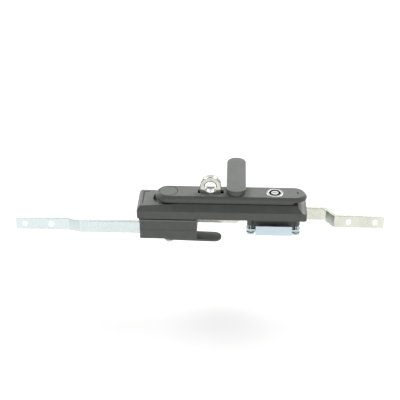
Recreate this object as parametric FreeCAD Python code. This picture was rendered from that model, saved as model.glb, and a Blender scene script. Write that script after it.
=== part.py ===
# Three-point cabinet lock with a tip-up swing handle, in millimetres.
# +X runs along the handle, +Z points out of the door towards the user.
# The origin is on the spindle axis, on the door's outer face, which is the bezel's underside.

import os
import FreeCAD, Part
from math import atan2, ceil, pi, radians, sin, tan

V = FreeCAD.Vector

# Bezel that lies on the door
plate_length = 200.0
plate_end = 36.5             # from the spindle axis to the bezel's near end
plate_width = 46.5
plate_corner = 3.0           # rounding of the bezel's corners in plan
band_height = 10.0           # upright band along the bezel's sides
seat_height = 16.6           # plane that the handle lies over
seat_width = 31.0            # width of that plane between the sloped sides
end_seat_height = 15.2       # the plane falls to this at the spindle end
end_seat_width = 38.0
slope_end_x = 14.0           # where the plane stops falling
end_slope_run = 3.4          # run of the sloped face at the spindle end
edge_round = 0.7             # rounding of the bezel's long edges
pit_radius = 15.8            # round pit that the handle's hub end dips into
pit_shift = 2.4              # how much further the pit reaches away from the handle
pit_floor = 9.0
plate_wall = 3.2             # wall over the bezel's hollow underside
rim_width = 6.0              # rim round the hollow underside, which lies on the door
pocket_depth = 5.4           # hollow under the pit's floor
cross_rib = 2.0              # rib between the two hollows
side_wall = 0.5              # how far the deep hollow stays inside the seat's edges
boss_wall = 1.0              # between the deep hollow and the first clamp boss
scoop_radius = 11.0          # finger scoop at the far end
scoop_low = 9.5              # lowest level of the scoop
label_inset = 4.2            # label frame groove from the sloped sides
label_groove = 1.1           # depth of that groove
label_line = 1.1             # width of that groove
label_start = 2.6            # groove from the end slope
label_length = 7.6
label_rise = 0.1             # the line along the handle is this much higher, as the seat rises there

# Gasket in the bezel's underside
gasket_width = 1.8
gasket_depth = 1.4
gasket_inset = 0.7           # from the bezel's outer edge

# Handle
handle_gap = 0.3             # between the bezel's seat and the handle
handle_top = 25.3
handle_reach = 148.8         # spindle axis to the centre of the round tip
handle_width = 30.6          # at the handle's lower edge
handle_flat = 23.6           # width of the flat top
handle_crown = 0.35          # height of the small rounding beside the flat top
handle_foot = 1.6            # up to the side's upright strip's end, from the lower edge
relief_height = 1.3          # bevel along the lower edge, so that the handle's rim clears the bezel
relief_depth = 0.8
bulge_height = 0.58          # fullest point of the rounded side, as shares of its height and run
bulge_run = 0.82
handle_roof = 2.3            # wall over the hollow
hollow_width = 24.4
hollow_end_x = 137.4
tip_thickness = 4.7
tip_sweep_start = 139.6      # where the underside starts to rise towards the tip
tip_sweep_run = 9.4
sweep_sag = 0.38             # share of the rise reached at the sweep's middle point
sweep_middle = 0.62
slot_start = 35.0            # slot that the padlock eye stands in
slot_end = 65.4
slot_width = 8.4
cap_radius = 11.0
cap_depth = 1.2
cap_line = 0.3               # fine gap round the cap
mark_hole_x = 152.9          # small blind hole near the tip
mark_hole_radius = 1.3
mark_hole_depth = 3.0

# Pin that the handle tips on
pin_x = -3.0
pin_rise = 2.7               # above the handle's lower edge
pin_radius = 1.5
eye_radius = 3.0             # rounded eye of the hub round the pin
eye_clearance = 0.4          # between that eye and the carrier arm
ear_inside = 8.4             # inner face of the handle's ears, from the middle
ear_root = 0.8               # how far the ears run into the side walls
pin_sunk = 0.6               # pin's end below the handle's side
pin_fit = 0.05

# Spindle
hub_disc_radius = 14.8
hub_disc_thickness = 1.5
hub_lug_width = 16.0
hub_lug_end_x = 13.0
shaft_radius = 8.0
shaft_fit = 0.05
bush_wall = 3.0
bush_flange_radius = 13.5
lower_flange_reach = 2.0
bush_flange = 1.0
bush_recess = 0.5            # from the door's face to the bush's lower end
seal_groove_depth = 1.5
seal_groove_height = 1.9
square_size = 11.0           # square that carries the pinion
journal_radius = 6.0         # round end in the gearbox cover
cam_square = 8.0
snug = 0.02                  # gap all round between pieces pressed together

# Padlock eye on its carrier arm
eye_x = 49.9
eye_width = 25.2
eye_thickness = 7.6
eye_centre_z = 33.6
eye_hole_radius = 6.6
eye_hole_chamfer = 1.1
arm_low = 18.9
arm_thickness = 2.0
arm_width = 12.0
arm_gap = 0.7                # between the arm's end and the key cylinder
arm_screw_radius = 1.5
arm_screw_head = 2.8
arm_screw_xs = (5.0, 10.0)
arm_screw_depth = 6.0

# Dust cover
cover_x = 80.2
cover_reach = 74.8           # pivot to the far end
cover_width = 23.4
cover_gap = 0.2
cover_top = 32.0
cover_wall = 1.8
cover_roof = 2.0
cover_round = 0.8
cover_pin_radius = 2.5
cover_pin_head = 5.0
cover_pin_head_thickness = 1.3
cover_washer_thickness = 0.4
cover_washer_rim = 0.6
cover_boss_radius = 5.0

# Key cylinder
key_x = 125.9
ring_radius = 9.85
ring_thickness = 0.6
barrel_radius = 8.9
barrel_low = 18.9
core_radius = 6.95
core_step_radius = 5.4       # narrower part of the core under its head
core_head = 3.0
core_post_radius = 4.3       # pale middle inside the dark ring
core_ring_depth = 1.6
core_notch_reach = 2.6       # pointed notch beside the middle
core_notch_half = 1.7
core_rim = 0.9               # wall round the dark ring
core_sink = 0.1              # how far the core lies below its ring
keyway_length = 5.6
keyway_width = 1.1
keyway_depth = 4.6
core_square = 5.0
lock_cam_reach = 11.9
lock_cam_width = 9.6
lock_cam_thickness = 1.2
cam_clip_radius = 4.4
cam_clip_thickness = 0.5
clip_thickness = 0.9
clip_width = 2.0
clip_gap = 8.0

# Door gap and gearbox
box_gap = 2.1                # room for the door's sheet between bezel and gearbox
box_start = 33.5             # spindle axis to the gearbox's two ends
box_end = 34.1
box_step_in = 1.25           # the gearbox is this much narrower than the bezel, each side
box_height = 26.4
box_seam = 13.5              # from the box's top to the joint of its halves
box_corner = 1.5
box_lip = 0.7                # lip round the box's top
box_lip_height = 1.2
seam_bevel = 0.3             # on both halves, along their joint
box_end_wall = 2.6
cover_boss_height = 2.0
cover_boss_under_radius = 10.0
box_screw_radius = 1.5
box_screw_head = 2.8
box_screw_inset = 5.6        # from the box's ends
box_screw_wall = 2.4         # between a screw's head and the nearer rod's slot
box_screw_bite = 7.0         # length inside the bezel
box_screw_boss = 4.0         # radius of the bosses that take them

# Rods and their drive
rod_height = 16.0
rod_thickness = 4.0
rod_top = -9.5
rod_corner = 2.0
rod_edge = 0.6
rod_inner_face = 11.5        # from the spindle axis to the nearer face of each rod
rod_clearance = 0.3
pinion_pitch = 12.0
pinion_teeth = 12
tooth_top = 13.9
tooth_root = 10.2
tooth_top_width = 1.2
tooth_pitch_width = 2.7
tooth_root_width = 3.6
window_width = 3.9
window_height = 8.0
tooth_length = 6.6
collar_radius = 8.6
window_radius = 0.5
bend_radius = 5.0            # middle line of every bend
swing_angle = 90.0
hole_radius = 3.5
hole_spacing = 32.0
hole_margin = 10.5
spare_windows = 1            # windows beyond those that the travel needs, each way
right_extra_windows = 5      # further windows that show beside the gearbox
rack_end_web = 1.3           # metal beyond the last window
left_rod_length = 183.5
left_joggle = (-105.0, -120.5)
left_outer_y = -9.2          # middle of the outer stretch
right_rod_length = 258.8
right_bend = (80.5, 91.5)
right_joggle = (189.5, 199.5)
right_mid_y = 24.5
right_outer_y = 8.5

# Third locking point under the gearbox
cam_top = -35.4
cam_thickness = 3.0
cam_width = 18.0
cam_reach = 63.5
cam_turn = -2.0
cam_edge = 0.25
cam_washer_radius = 7.0
cam_washer_thickness = 1.5
cam_spring_thickness = 1.6
cam_spring_radius = 5.2
cam_head_radius = 5.2
cam_head_height = 4.4
cam_screw_radius = 3.0
cam_screw_depth = 11.0
square_short = 0.2           # the square ends inside the tongue, so that the washer clamps it
screw_short = 0.5            # screws end short of their holes' ends
ring_groove = 0.8
ring_height = 1.0
ring_width = 2.2
ring_mouth = 7.8
end_play = 0.1               # free play of the spindle and pinion along the axis

# Clamp at the far end
clamp_x = 125.6
clamp_half_span = 27.0       # to each screw
boss_radius = 4.7
boss_length = 19.0
bracket_drop = 4.0           # the bracket hangs this far below the bosses, on its screws
bracket_length = 43.0
bracket_width = 36.0
bracket_sheet = 2.0
bracket_leg = 14.0
bracket_bend = 3.0
tab_width = 11.2
neck_length = 48.0           # it runs into both screw bosses
neck_width = 17.0
neck_depth = 18.0
neck_wall = 2.5
clamp_screw_radius = 2.5
clamp_screw_bite = 14.0
clamp_head_radius = 5.4
clamp_head_height = 5.2
clamp_washer_radius = 5.5
clamp_washer_thickness = 1.5
clamp_spring_thickness = 1.6
clamp_spring_radius = 4.7
hole_slack = 0.25            # clearance round clamp screws
screw_slack = 0.1            # clearance round the gearbox screws and inside washers
room = 0.3                   # free space round turning pieces that don't bear

# Margins for cutting and joining shapes
past = 1.0                   # cutting shapes run this far past the faces that they cut
lap = 0.5                    # shapes joined into one solid run this far into each other
tiny = 0.01                  # for picking edges that lie in one plane

# Screw heads and split washers
recess_width = 1.3
recess_depth = 1.5
recess_reach = 2.2
small_recess = (0.7, 0.9, 1.5)   # width, depth and reach in the small countersunk heads
split_gap = 1.2
head_rim = 0.45              # share of a pan head's height that is upright

# Worked-out places
plate_x0 = -plate_end
plate_x1 = plate_length - plate_end
half_plate = plate_width / 2
box_half = half_plate - box_step_in
handle_low = seat_height + handle_gap
handle_roof_z = handle_top - handle_roof
pin_z = handle_low + pin_rise
ear_radius = pin_rise         # the ears end level with the handle's lower edge
hub_disc_low = pit_floor + bush_flange
hub_disc_top = hub_disc_low + hub_disc_thickness
arm_top = arm_low + arm_thickness
box_top = -box_gap
box_low = box_top - box_height
seam_z = box_top - box_seam
rod_low = rod_top - rod_height
rod_middle_z = rod_top - rod_height / 2
rod_offset = rod_inner_face + rod_thickness / 2
window_pitch = 2 * pi * pinion_pitch / pinion_teeth
rod_travel = pinion_pitch * radians(swing_angle)
travel_windows = ceil(rod_travel / window_pitch - tiny)
left_windows = (-travel_windows - spare_windows, spare_windows)
right_windows = (-spare_windows, travel_windows + spare_windows + right_extra_windows)
rack_end = spare_windows * window_pitch + window_width / 2 + rack_end_web
cavity_top = rod_top + rod_clearance
cavity_low = rod_low - rod_clearance
bush_radius = shaft_radius + bush_wall
lower_bush_radius = journal_radius + bush_wall / 2
lower_flange_radius = lower_bush_radius + lower_flange_reach
lower_flange_top = cavity_low + bush_flange
boss_low = box_low - cover_boss_height
cam_low = cam_top - cam_thickness
cover_low = handle_top + cover_gap
bracket_low = -boss_length - bracket_drop - bracket_sheet
arm_end = key_x - barrel_radius - arm_gap
lock_cam_top = arm_low - room
lock_cam_low = lock_cam_top - lock_cam_thickness
aside = 2 * right_mid_y      # further from the middle than any rod


def box(x0, x1, y0, y1, z0, z1):
    return Part.makeBox(x1 - x0, y1 - y0, z1 - z0, V(x0, y0, z0))


def post(x, y, z0, z1, radius):
    return Part.makeCylinder(radius, z1 - z0, V(x, y, z0), V(0, 0, 1))


def cross_post(x, z, y0, y1, radius):
    return Part.makeCylinder(radius, y1 - y0, V(x, y0, z), V(0, 1, 0))


def tube(x, y, z0, z1, outer, inner):
    return post(x, y, z0, z1, outer).cut(post(x, y, z0, z1, inner))


def plan_shape(points, z0, z1):
    # Closed outline in the XY plane, raised from z0 to z1.
    corners = [V(x, y, z0) for x, y in points]
    return Part.Face(Part.makePolygon(corners + corners[:1])).extrude(V(0, 0, z1 - z0))


def side_shape(points, y0, y1):
    # Closed outline in the XZ plane, extended from y0 to y1.
    corners = [V(x, y0, z) for x, z in points]
    return Part.Face(Part.makePolygon(corners + corners[:1])).extrude(V(0, y1 - y0, 0))


def oblong(x0, x1, radius, z0, z1):
    # Straight-sided plan with round ends centred at x0 and x1.
    straight = box(x0, x1, -radius, radius, z0, z1)
    ends = [post(x0, 0, z0, z1, radius), post(x1, 0, z0, z1, radius)]
    return straight.fuse(ends).removeSplitter()


def rounded_plan(x0, x1, half, radius, z0, z1):
    # Rectangle in plan with rounded corners.
    block = box(x0, x1, -half, half, z0, z1)
    upright = [e for e in block.Edges if abs(e.Vertexes[0].Z - e.Vertexes[1].Z) > 0.5 * (z1 - z0)]
    return block.makeFillet(radius, upright)


def seat_edge(x):
    # Height and half width of the bezel's top plane at one place along its length.
    share = max(0.0, min(1.0, (x - plate_x0) / (slope_end_x - plate_x0)))
    height = end_seat_height + share * (seat_height - end_seat_height)
    half = (end_seat_width + share * (seat_width - end_seat_width)) / 2
    return height, half


def bezel_section(x):
    height, half = seat_edge(x)
    points = [V(x, -half_plate, 0), V(x, -half_plate, band_height), V(x, -half, height),
              V(x, half, height), V(x, half_plate, band_height), V(x, half_plate, 0)]
    return Part.makePolygon(points + points[:1])


def bezel_outer():
    stations = [plate_x0, slope_end_x, plate_x1]
    parts = [Part.makeLoft([bezel_section(a), bezel_section(b)], True, True)
             for a, b in zip(stations, stations[1:])]
    body = parts[0].fuse(parts[1]).removeSplitter()
    high = seat_height + past
    slope = (seat_height - band_height) / (end_seat_height - band_height)
    end_cut = [(plate_x0 - past, band_height), (plate_x0, band_height),
               (plate_x0 + end_slope_run * slope, seat_height), (plate_x0 + end_slope_run * slope, high),
               (plate_x0 - past, high)]
    body = body.cut(side_shape(end_cut, -half_plate - past, half_plate + past))
    return body.common(rounded_plan(plate_x0, plate_x1, half_plate, plate_corner, 0, high))


def round_long_edges(body):
    # The bezel's long outer edges at the band and at the seat are slightly rounded.
    picked = []
    for edge in body.Edges:
        box_ = edge.BoundBox
        level = box_.ZMin > band_height - tiny and box_.XLength > plate_end / 2
        outside = max(abs(box_.YMin), abs(box_.YMax)) > seat_width / 2 - tiny
        if level and outside and box_.YLength < half_plate / 4:
            picked.append(edge)
    return body.makeFillet(edge_round, picked)


def pit():
    top = seat_height + past
    circles = [post(x, 0, pit_floor, top, pit_radius) for x in (0.0, -pit_shift)]
    middle = box(-pit_shift, 0, -pit_radius, pit_radius, pit_floor, top)
    return circles[0].fuse([circles[1], middle]).removeSplitter()


def screw_places():
    # The gearbox's screws stand between the two rods, near the box's ends.
    y = rod_inner_face - rod_clearance - box_screw_wall - box_screw_head
    return [(x, s * y) for x in (-box_start + box_screw_inset, box_end - box_screw_inset)
            for s in (-1, 1)]


def clamp_places():
    return [clamp_x - clamp_half_span, clamp_x + clamp_half_span]


def hollow_underside():
    # Space under the bezel, less the bosses that stand in it.
    inner = half_plate - rim_width
    near = box(plate_x0 + rim_width, slope_end_x + rim_width, -inner, inner, 0, pocket_depth)
    mid_top = seat_height - plate_wall
    mid = box(slope_end_x + rim_width + cross_rib, clamp_x - clamp_half_span - boss_radius - boss_wall,
              -seat_width / 2 + side_wall, seat_width / 2 - side_wall, 0, mid_top)
    keep = [post(0, 0, bush_recess, pit_floor, bush_radius + plate_wall)]
    keep += [post(x, y, 0, mid_top, box_screw_boss) for x, y in screw_places()]
    return near.fuse(mid).cut(keep[0].fuse(keep[1:]))


def gasket_ring(inset, width, z0, z1):
    outer = rounded_plan(plate_x0 + inset, plate_x1 - inset, half_plate - inset, plate_corner - inset / 2,
                         z0, z1)
    gone = inset + width
    inner = rounded_plan(plate_x0 + gone, plate_x1 - gone, half_plate - gone, plate_corner - gone / 2,
                         z0, z1)
    return outer.cut(inner)


def base_plate():
    body = round_long_edges(bezel_outer())
    body = body.cut(pit())
    body = body.cut(post(0, 0, -past, pit_floor + past, bush_radius))
    scoop_x = plate_x1
    scoop_z = scoop_low + scoop_radius
    body = body.cut(cross_post(scoop_x, scoop_z, -half_plate - past, half_plate + past, scoop_radius))
    body = body.cut(hollow_underside())
    for x in clamp_places():
        body = body.fuse(post(x, 0, -boss_length, lap, boss_radius))
    half_neck = neck_length / 2
    neck = box(clamp_x - half_neck, clamp_x + half_neck, -neck_width / 2, neck_width / 2, -neck_depth, lap)
    body = body.fuse(neck).removeSplitter()
    inside = half_neck - neck_wall
    body = body.cut(box(clamp_x - inside, clamp_x + inside, -neck_width / 2 + neck_wall,
                        neck_width / 2 - neck_wall, -neck_depth - past, seat_height - plate_wall))
    for x in clamp_places():
        body = body.cut(post(x, 0, -boss_length - past, -boss_length + clamp_screw_bite + past,
                             clamp_screw_radius + snug))
    for x, y in screw_places():
        body = body.cut(post(x, y, -past, box_screw_bite + screw_short, box_screw_radius + snug))
    body = body.cut(gasket_ring(gasket_inset, gasket_width, -past, gasket_depth))
    return body.cut(label_lines())


def label_lines():
    # Shallow L-shaped groove that frames the label field at the spindle end.
    x0 = plate_x0 + end_slope_run + label_start
    x1 = x0 + label_length
    height, half = seat_edge(x0)
    y1 = half - label_inset
    y0 = -y1
    top = seat_height + past
    low = height - label_groove
    upright = box(x0, x0 + label_line, y0, y1, low, top)
    across = box(x0, x1, y1 - label_line, y1, low + label_rise, top)
    return upright.fuse(across)


def door_gasket():
    return gasket_ring(gasket_inset + snug, gasket_width - 2 * snug, 0, gasket_depth - snug)


def hub_bush():
    sleeve = tube(0, 0, bush_recess, pit_floor, bush_radius - snug, shaft_radius + shaft_fit)
    flange = tube(0, 0, pit_floor, hub_disc_low, bush_flange_radius, shaft_radius + shaft_fit)
    return sleeve.fuse(flange).removeSplitter()


def spindle_hub():
    disc = post(0, 0, hub_disc_low, hub_disc_top, hub_disc_radius)
    half = hub_lug_width / 2
    lug_left = pin_x - eye_radius
    lug = box(lug_left, pin_x + eye_radius, -half, half, hub_disc_low, pin_z)
    eye = cross_post(pin_x, pin_z, -half, half, eye_radius)
    step = box(pin_x, hub_lug_end_x, -half, half, hub_disc_low, arm_low)
    shaft = post(0, 0, cavity_top, hub_disc_low + lap, shaft_radius)
    square = box(-square_size / 2, square_size / 2, -square_size / 2, square_size / 2,
                 lower_flange_top + end_play, cavity_top)
    journal = post(0, 0, cam_top, lower_flange_top + end_play, journal_radius)
    tail = box(-cam_square / 2, cam_square / 2, -cam_square / 2, cam_square / 2,
               cam_low + square_short, cam_top)
    body = disc.fuse([lug, eye, step, shaft, square, journal, tail]).removeSplitter()
    body = body.cut(cross_post(pin_x, pin_z, -half - past, half + past, pin_radius + pin_fit))
    body = body.cut(post(0, 0, cam_low - past, cam_low + cam_screw_depth, cam_screw_radius + snug))
    for x in arm_screw_xs:
        body = body.cut(post(x, 0, arm_low - arm_screw_depth, arm_low + past, arm_screw_radius + snug))
    groove_z = pit_floor / 2
    body = body.cut(tube(0, 0, groove_z - seal_groove_height / 2, groove_z + seal_groove_height / 2,
                         shaft_radius + past, shaft_radius - seal_groove_depth))
    ring_top = boss_low - end_play
    return body.cut(tube(0, 0, ring_top - ring_height, ring_top, journal_radius + past,
                         journal_radius - ring_groove))


def spindle_seal():
    section = seal_groove_depth / 2 - snug
    return Part.makeTorus(shaft_radius - section, section, V(0, 0, pit_floor / 2), V(0, 0, 1))


def retaining_ring():
    ring_top = boss_low - end_play
    inner = journal_radius - ring_groove + snug
    ring = tube(0, 0, ring_top - ring_height, ring_top, inner + ring_width, inner)
    mouth = box(0, inner + ring_width + past, -ring_mouth / 2, ring_mouth / 2,
                ring_top - 2 * ring_height, ring_top + past)
    return ring.cut(mouth)


def padlock_staple():
    half = eye_width / 2
    plate = box(eye_x - half, eye_x + half, -eye_thickness / 2, eye_thickness / 2, arm_low, eye_centre_z)
    head = cross_post(eye_x, eye_centre_z, -eye_thickness / 2, eye_thickness / 2, half)
    arm = box(pin_x + eye_radius + eye_clearance, arm_end, -arm_width / 2, arm_width / 2, arm_low, arm_top)
    body = plate.fuse([head, arm]).removeSplitter()
    body = body.cut(cross_post(eye_x, eye_centre_z, -eye_thickness, eye_thickness, eye_hole_radius))
    for s in (-1, 1):
        face = V(eye_x, s * eye_thickness / 2, eye_centre_z)
        cone = Part.makeCone(eye_hole_radius + eye_hole_chamfer, eye_hole_radius, eye_hole_chamfer,
                             face, V(0, -s, 0))
        body = body.cut(cone)
    for x in arm_screw_xs:
        body = body.cut(countersunk(x, 0, arm_top, arm_screw_radius + snug, arm_screw_head + snug,
                                    arm_thickness + past, up=True))
    return body


def countersunk(x, y, z_face, radius, head, length, up):
    # Plain countersunk screw shape whose flat head lies at z_face.
    way = -1 if up else 1
    cone = Part.makeCone(head, radius, head - radius, V(x, y, z_face), V(0, 0, way))
    shank = Part.makeCylinder(radius, length, V(x, y, z_face), V(0, 0, way))
    return cone.fuse(shank).removeSplitter()


def cross_recess(x, y, z_face, up, size=recess_width, depth=recess_depth, reach=recess_reach):
    # Cross slots in a screw head whose end lies at z_face.
    z0, z1 = (z_face - depth, z_face + past) if up else (z_face - past, z_face + depth)
    long_one = box(x - reach, x + reach, y - size / 2, y + size / 2, z0, z1)
    return long_one.fuse(box(x - size / 2, x + size / 2, y - reach, y + reach, z0, z1))


def staple_screws():
    solids = []
    for x in arm_screw_xs:
        screw = countersunk(x, 0, arm_top, arm_screw_radius, arm_screw_head,
                            arm_thickness + arm_screw_depth - screw_short, up=True)
        solids.append(screw.cut(cross_recess(x, 0, arm_top, True, *small_recess)))
    return Part.makeCompound(solids)


def handle_profile():
    # Half section from the middle line out to the lower edge.
    half = handle_width / 2
    flat = handle_flat / 2
    bulge_z = handle_low + bulge_height * (handle_top - handle_low)
    bulge = flat + bulge_run * (half - flat)
    low, foot = V(half - relief_depth, 0, handle_low), V(half, 0, handle_low + relief_height)
    turn = V(half, 0, handle_low + handle_foot)
    crown = V(flat + handle_crown, 0, handle_top - handle_crown)
    top = V(flat, 0, handle_top)
    share = sin(pi / 4)
    edges = [Part.makeLine(V(0, 0, handle_low), low), Part.makeLine(low, foot), Part.makeLine(foot, turn),
             Part.Arc(turn, V(bulge, 0, bulge_z), crown).toShape(),
             Part.Arc(crown, V(flat + share * handle_crown, 0, handle_top - (1 - share) * handle_crown),
                      top).toShape(),
             Part.makeLine(top, V(0, 0, handle_top)), Part.makeLine(V(0, 0, handle_top), V(0, 0, handle_low))]
    return Part.Face(Part.Wire(edges))


def handle_outer():
    face = handle_profile()
    turned = face.revolve(V(0, 0, 0), V(0, 0, 1), 360)
    tip = turned.translated(V(handle_reach, 0, 0))
    side = face.rotated(V(0, 0, 0), V(0, 0, 1), 90)
    other = side.mirror(V(0, 0, 0), V(0, 1, 0))
    straight = side.extrude(V(handle_reach, 0, 0)).fuse(other.extrude(V(handle_reach, 0, 0)))
    return straight.fuse([turned, tip]).removeSplitter()


def under_tip_cut():
    # Curved rise of the handle's underside towards the tip.
    level = handle_top - tip_thickness
    start = V(tip_sweep_start, 0, handle_low - past)
    first = V(tip_sweep_start, 0, handle_low)
    middle = V(tip_sweep_start + sweep_middle * tip_sweep_run, 0,
               handle_low + sweep_sag * (level - handle_low))
    end = V(tip_sweep_start + tip_sweep_run, 0, level)
    far = handle_reach + handle_width
    edges = [Part.makeLine(start, first), Part.Arc(first, middle, end).toShape(),
             Part.makeLine(end, V(far, 0, level)),
             Part.makeLine(V(far, 0, level), V(far, 0, handle_low - past)),
             Part.makeLine(V(far, 0, handle_low - past), start)]
    face = Part.Face(Part.Wire(edges))
    return face.translated(V(0, -handle_width, 0)).extrude(V(0, 2 * handle_width, 0))


def handle():
    body = handle_outer().cut(under_tip_cut())
    half = hollow_width / 2
    hollow = box(0, hollow_end_x, -half, half, handle_low - past, handle_roof_z)
    hollow = hollow.fuse(post(0, 0, handle_low - past, handle_roof_z, half)).removeSplitter()
    body = body.cut(hollow)
    for s in (-1, 1):
        y0, y1 = sorted((s * ear_inside, s * (half + ear_root)))
        ear = cross_post(pin_x, pin_z, y0, y1, ear_radius)
        web = box(pin_x - ear_radius, pin_x + ear_radius, y0, y1, pin_z, handle_roof_z)
        body = body.fuse(ear.fuse(web))
    body = body.cut(cross_post(pin_x, pin_z, -half - ear_root + snug, handle_width, pin_radius + snug))
    low, high = handle_roof_z - past, handle_top + past
    body = body.cut(box(slot_start, slot_end, -slot_width / 2, slot_width / 2, low, high))
    body = body.cut(post(0, 0, handle_top - cap_depth, high, cap_radius + cap_line))
    body = body.cut(post(cover_x, 0, low, high, cover_pin_radius + pin_fit))
    body = body.cut(post(key_x, 0, handle_top - ring_thickness, high, ring_radius + snug))
    body = body.cut(post(key_x, 0, low, handle_top, barrel_radius + snug))
    return body.cut(post(mark_hole_x, 0, handle_top - mark_hole_depth, high, mark_hole_radius))


def hub_cap():
    return post(0, 0, handle_top - cap_depth, handle_top, cap_radius)


def tilt_pin():
    half = hollow_width / 2
    return cross_post(pin_x, pin_z, -half - ear_root + 2 * snug, handle_width / 2 - pin_sunk, pin_radius)


def cylinder_body():
    ring = post(key_x, 0, handle_top - ring_thickness, handle_top, ring_radius)
    barrel = post(key_x, 0, barrel_low, handle_top - ring_thickness, barrel_radius)
    body = ring.fuse(barrel).removeSplitter()
    body = body.cut(post(key_x, 0, handle_top - core_head, handle_top + past, core_radius + shaft_fit))
    return body.cut(post(key_x, 0, barrel_low - past, handle_top, core_step_radius + shaft_fit))


def cylinder_clip():
    ring = tube(key_x, 0, handle_roof_z - clip_thickness, handle_roof_z,
                barrel_radius + snug + clip_width, barrel_radius + snug)
    mouth = box(key_x, key_x + 2 * barrel_radius, -clip_gap / 2, clip_gap / 2,
                handle_roof_z - 2 * clip_thickness, handle_roof_z + past)
    return ring.cut(mouth)


def cylinder_core():
    head = post(key_x, 0, handle_top - core_head, handle_top - core_sink, core_radius)
    stem = post(key_x, 0, barrel_low - core_sink, handle_top - core_head, core_step_radius)
    half = core_square / 2
    tail = box(key_x - half, key_x + half, -half, half, lock_cam_low - cam_clip_thickness, barrel_low)
    body = head.fuse([stem, tail]).removeSplitter()
    ring_low, high = handle_top - core_ring_depth, handle_top + past
    ring = tube(key_x, 0, ring_low, high, core_radius - core_rim, core_post_radius)
    notch_x = key_x - core_post_radius
    corners = [(notch_x, -core_notch_half), (notch_x - core_notch_reach, 0), (notch_x, core_notch_half)]
    notch = plan_shape(corners, ring_low, high)
    slot = box(key_x - keyway_length / 2, key_x + keyway_length / 2, -keyway_width / 2, keyway_width / 2,
               handle_top - keyway_depth, high)
    return body.cut(ring).cut(notch).cut(slot)


def lock_cam():
    half = lock_cam_width / 2
    blade = box(key_x - half, key_x + half, 0, lock_cam_reach, lock_cam_low, lock_cam_top)
    body = blade.common(post(key_x, 0, lock_cam_low, lock_cam_top, lock_cam_reach))
    body = body.fuse(post(key_x, 0, lock_cam_low, lock_cam_top, half)).removeSplitter()
    hole = core_square / 2 + snug
    return body.cut(box(key_x - hole, key_x + hole, -hole, hole, lock_cam_low - past, lock_cam_top + past))


def cam_clip():
    hole = core_square / 2 + snug
    ring = post(key_x, 0, lock_cam_low - cam_clip_thickness, lock_cam_low, cam_clip_radius)
    return ring.cut(box(key_x - hole, key_x + hole, -hole, hole,
                        lock_cam_low - 2 * cam_clip_thickness, lock_cam_low + past))


def dust_cover():
    # Stands open, pointing along +Y, square to the handle.
    half = cover_width / 2
    length = cover_reach - half
    shell = oblong(0, length, half, cover_low, cover_top)
    rim = [e for e in shell.Edges if e.BoundBox.ZMin > cover_top - tiny]
    shell = shell.makeFillet(cover_round, rim)
    inner = half - cover_wall
    shell = shell.cut(oblong(0, length, inner, cover_low - past, cover_top - cover_roof))
    boss = post(0, 0, cover_low, cover_top - cover_roof + lap, cover_boss_radius)
    shell = shell.fuse(boss).removeSplitter()
    shell = shell.cut(post(0, 0, cover_low - past, cover_top - cover_roof - snug, cover_pin_radius + snug))
    shell.rotate(V(0, 0, 0), V(0, 0, 1), 90)
    return shell.translated(V(cover_x, 0, 0))


def dust_cover_pin():
    head_top = handle_roof_z - cover_washer_thickness
    head = post(cover_x, 0, head_top - cover_pin_head_thickness, head_top, cover_pin_head)
    shank = post(cover_x, 0, head_top, cover_top - cover_roof - screw_short, cover_pin_radius)
    return head.fuse(shank).removeSplitter()


def cover_washer():
    return tube(cover_x, 0, handle_roof_z - cover_washer_thickness, handle_roof_z,
                cover_pin_head + cover_washer_rim, cover_pin_radius + snug)


def gearbox_block(z0, z1, lip=0.0):
    return rounded_plan(-box_start - lip, box_end + lip, box_half + lip, box_corner, z0, z1)


def bevelled_at_seam(body):
    seam = [e for e in body.Edges if e.BoundBox.ZMin > seam_z - tiny and e.BoundBox.ZMax < seam_z + tiny]
    return body.makeChamfer(seam_bevel, seam)


def rod_channels():
    # Slots for both rods, each open at the end where its rod leaves.
    near = rod_inner_face - rod_clearance
    far = rod_inner_face + rod_thickness + rod_clearance
    left = box(-box_start - past, box_end - box_end_wall, -far, -near, cavity_low, cavity_top)
    right = box(-box_start + box_end_wall, box_end + past, near, far, cavity_low, cavity_top)
    return left.fuse([right, post(0, 0, cavity_low, cavity_top, tooth_top + 2 * room)])


def gearbox_housing():
    body = bevelled_at_seam(gearbox_block(seam_z, box_top))
    body = body.fuse(gearbox_block(box_top - box_lip_height, box_top, box_lip)).removeSplitter()
    body = body.cut(rod_channels())
    body = body.cut(post(0, 0, seam_z - past, box_top + past, shaft_radius + room))
    for x, y in screw_places():
        body = body.cut(post(x, y, seam_z - past, box_top + past, box_screw_radius + screw_slack))
    return body


def gearbox_cover():
    body = bevelled_at_seam(gearbox_block(box_low, seam_z))
    lower = [e for e in body.Edges if e.BoundBox.ZMax < box_low + tiny]
    body = body.makeFillet(edge_round, lower)
    body = body.fuse(post(0, 0, boss_low, seam_z, cover_boss_under_radius)).removeSplitter()
    body = body.cut(rod_channels())
    body = body.cut(post(0, 0, boss_low - past, seam_z, lower_bush_radius))
    for x, y in screw_places():
        body = body.cut(countersunk(x, y, box_low, box_screw_radius + screw_slack, box_screw_head + snug,
                                    box_height, up=False))
    return body


def gearbox_screws():
    length = box_height + box_gap + box_screw_bite
    solids = []
    for x, y in screw_places():
        screw = countersunk(x, y, box_low, box_screw_radius, box_screw_head, length, up=False)
        solids.append(screw.cut(cross_recess(x, y, box_low, False, *small_recess)))
    return Part.makeCompound(solids)


def lower_bush():
    sleeve = tube(0, 0, boss_low, lower_flange_top, lower_bush_radius - snug, journal_radius + shaft_fit)
    flange = tube(0, 0, cavity_low, lower_flange_top, lower_flange_radius, journal_radius + shaft_fit)
    return sleeve.fuse(flange).removeSplitter()


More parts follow.
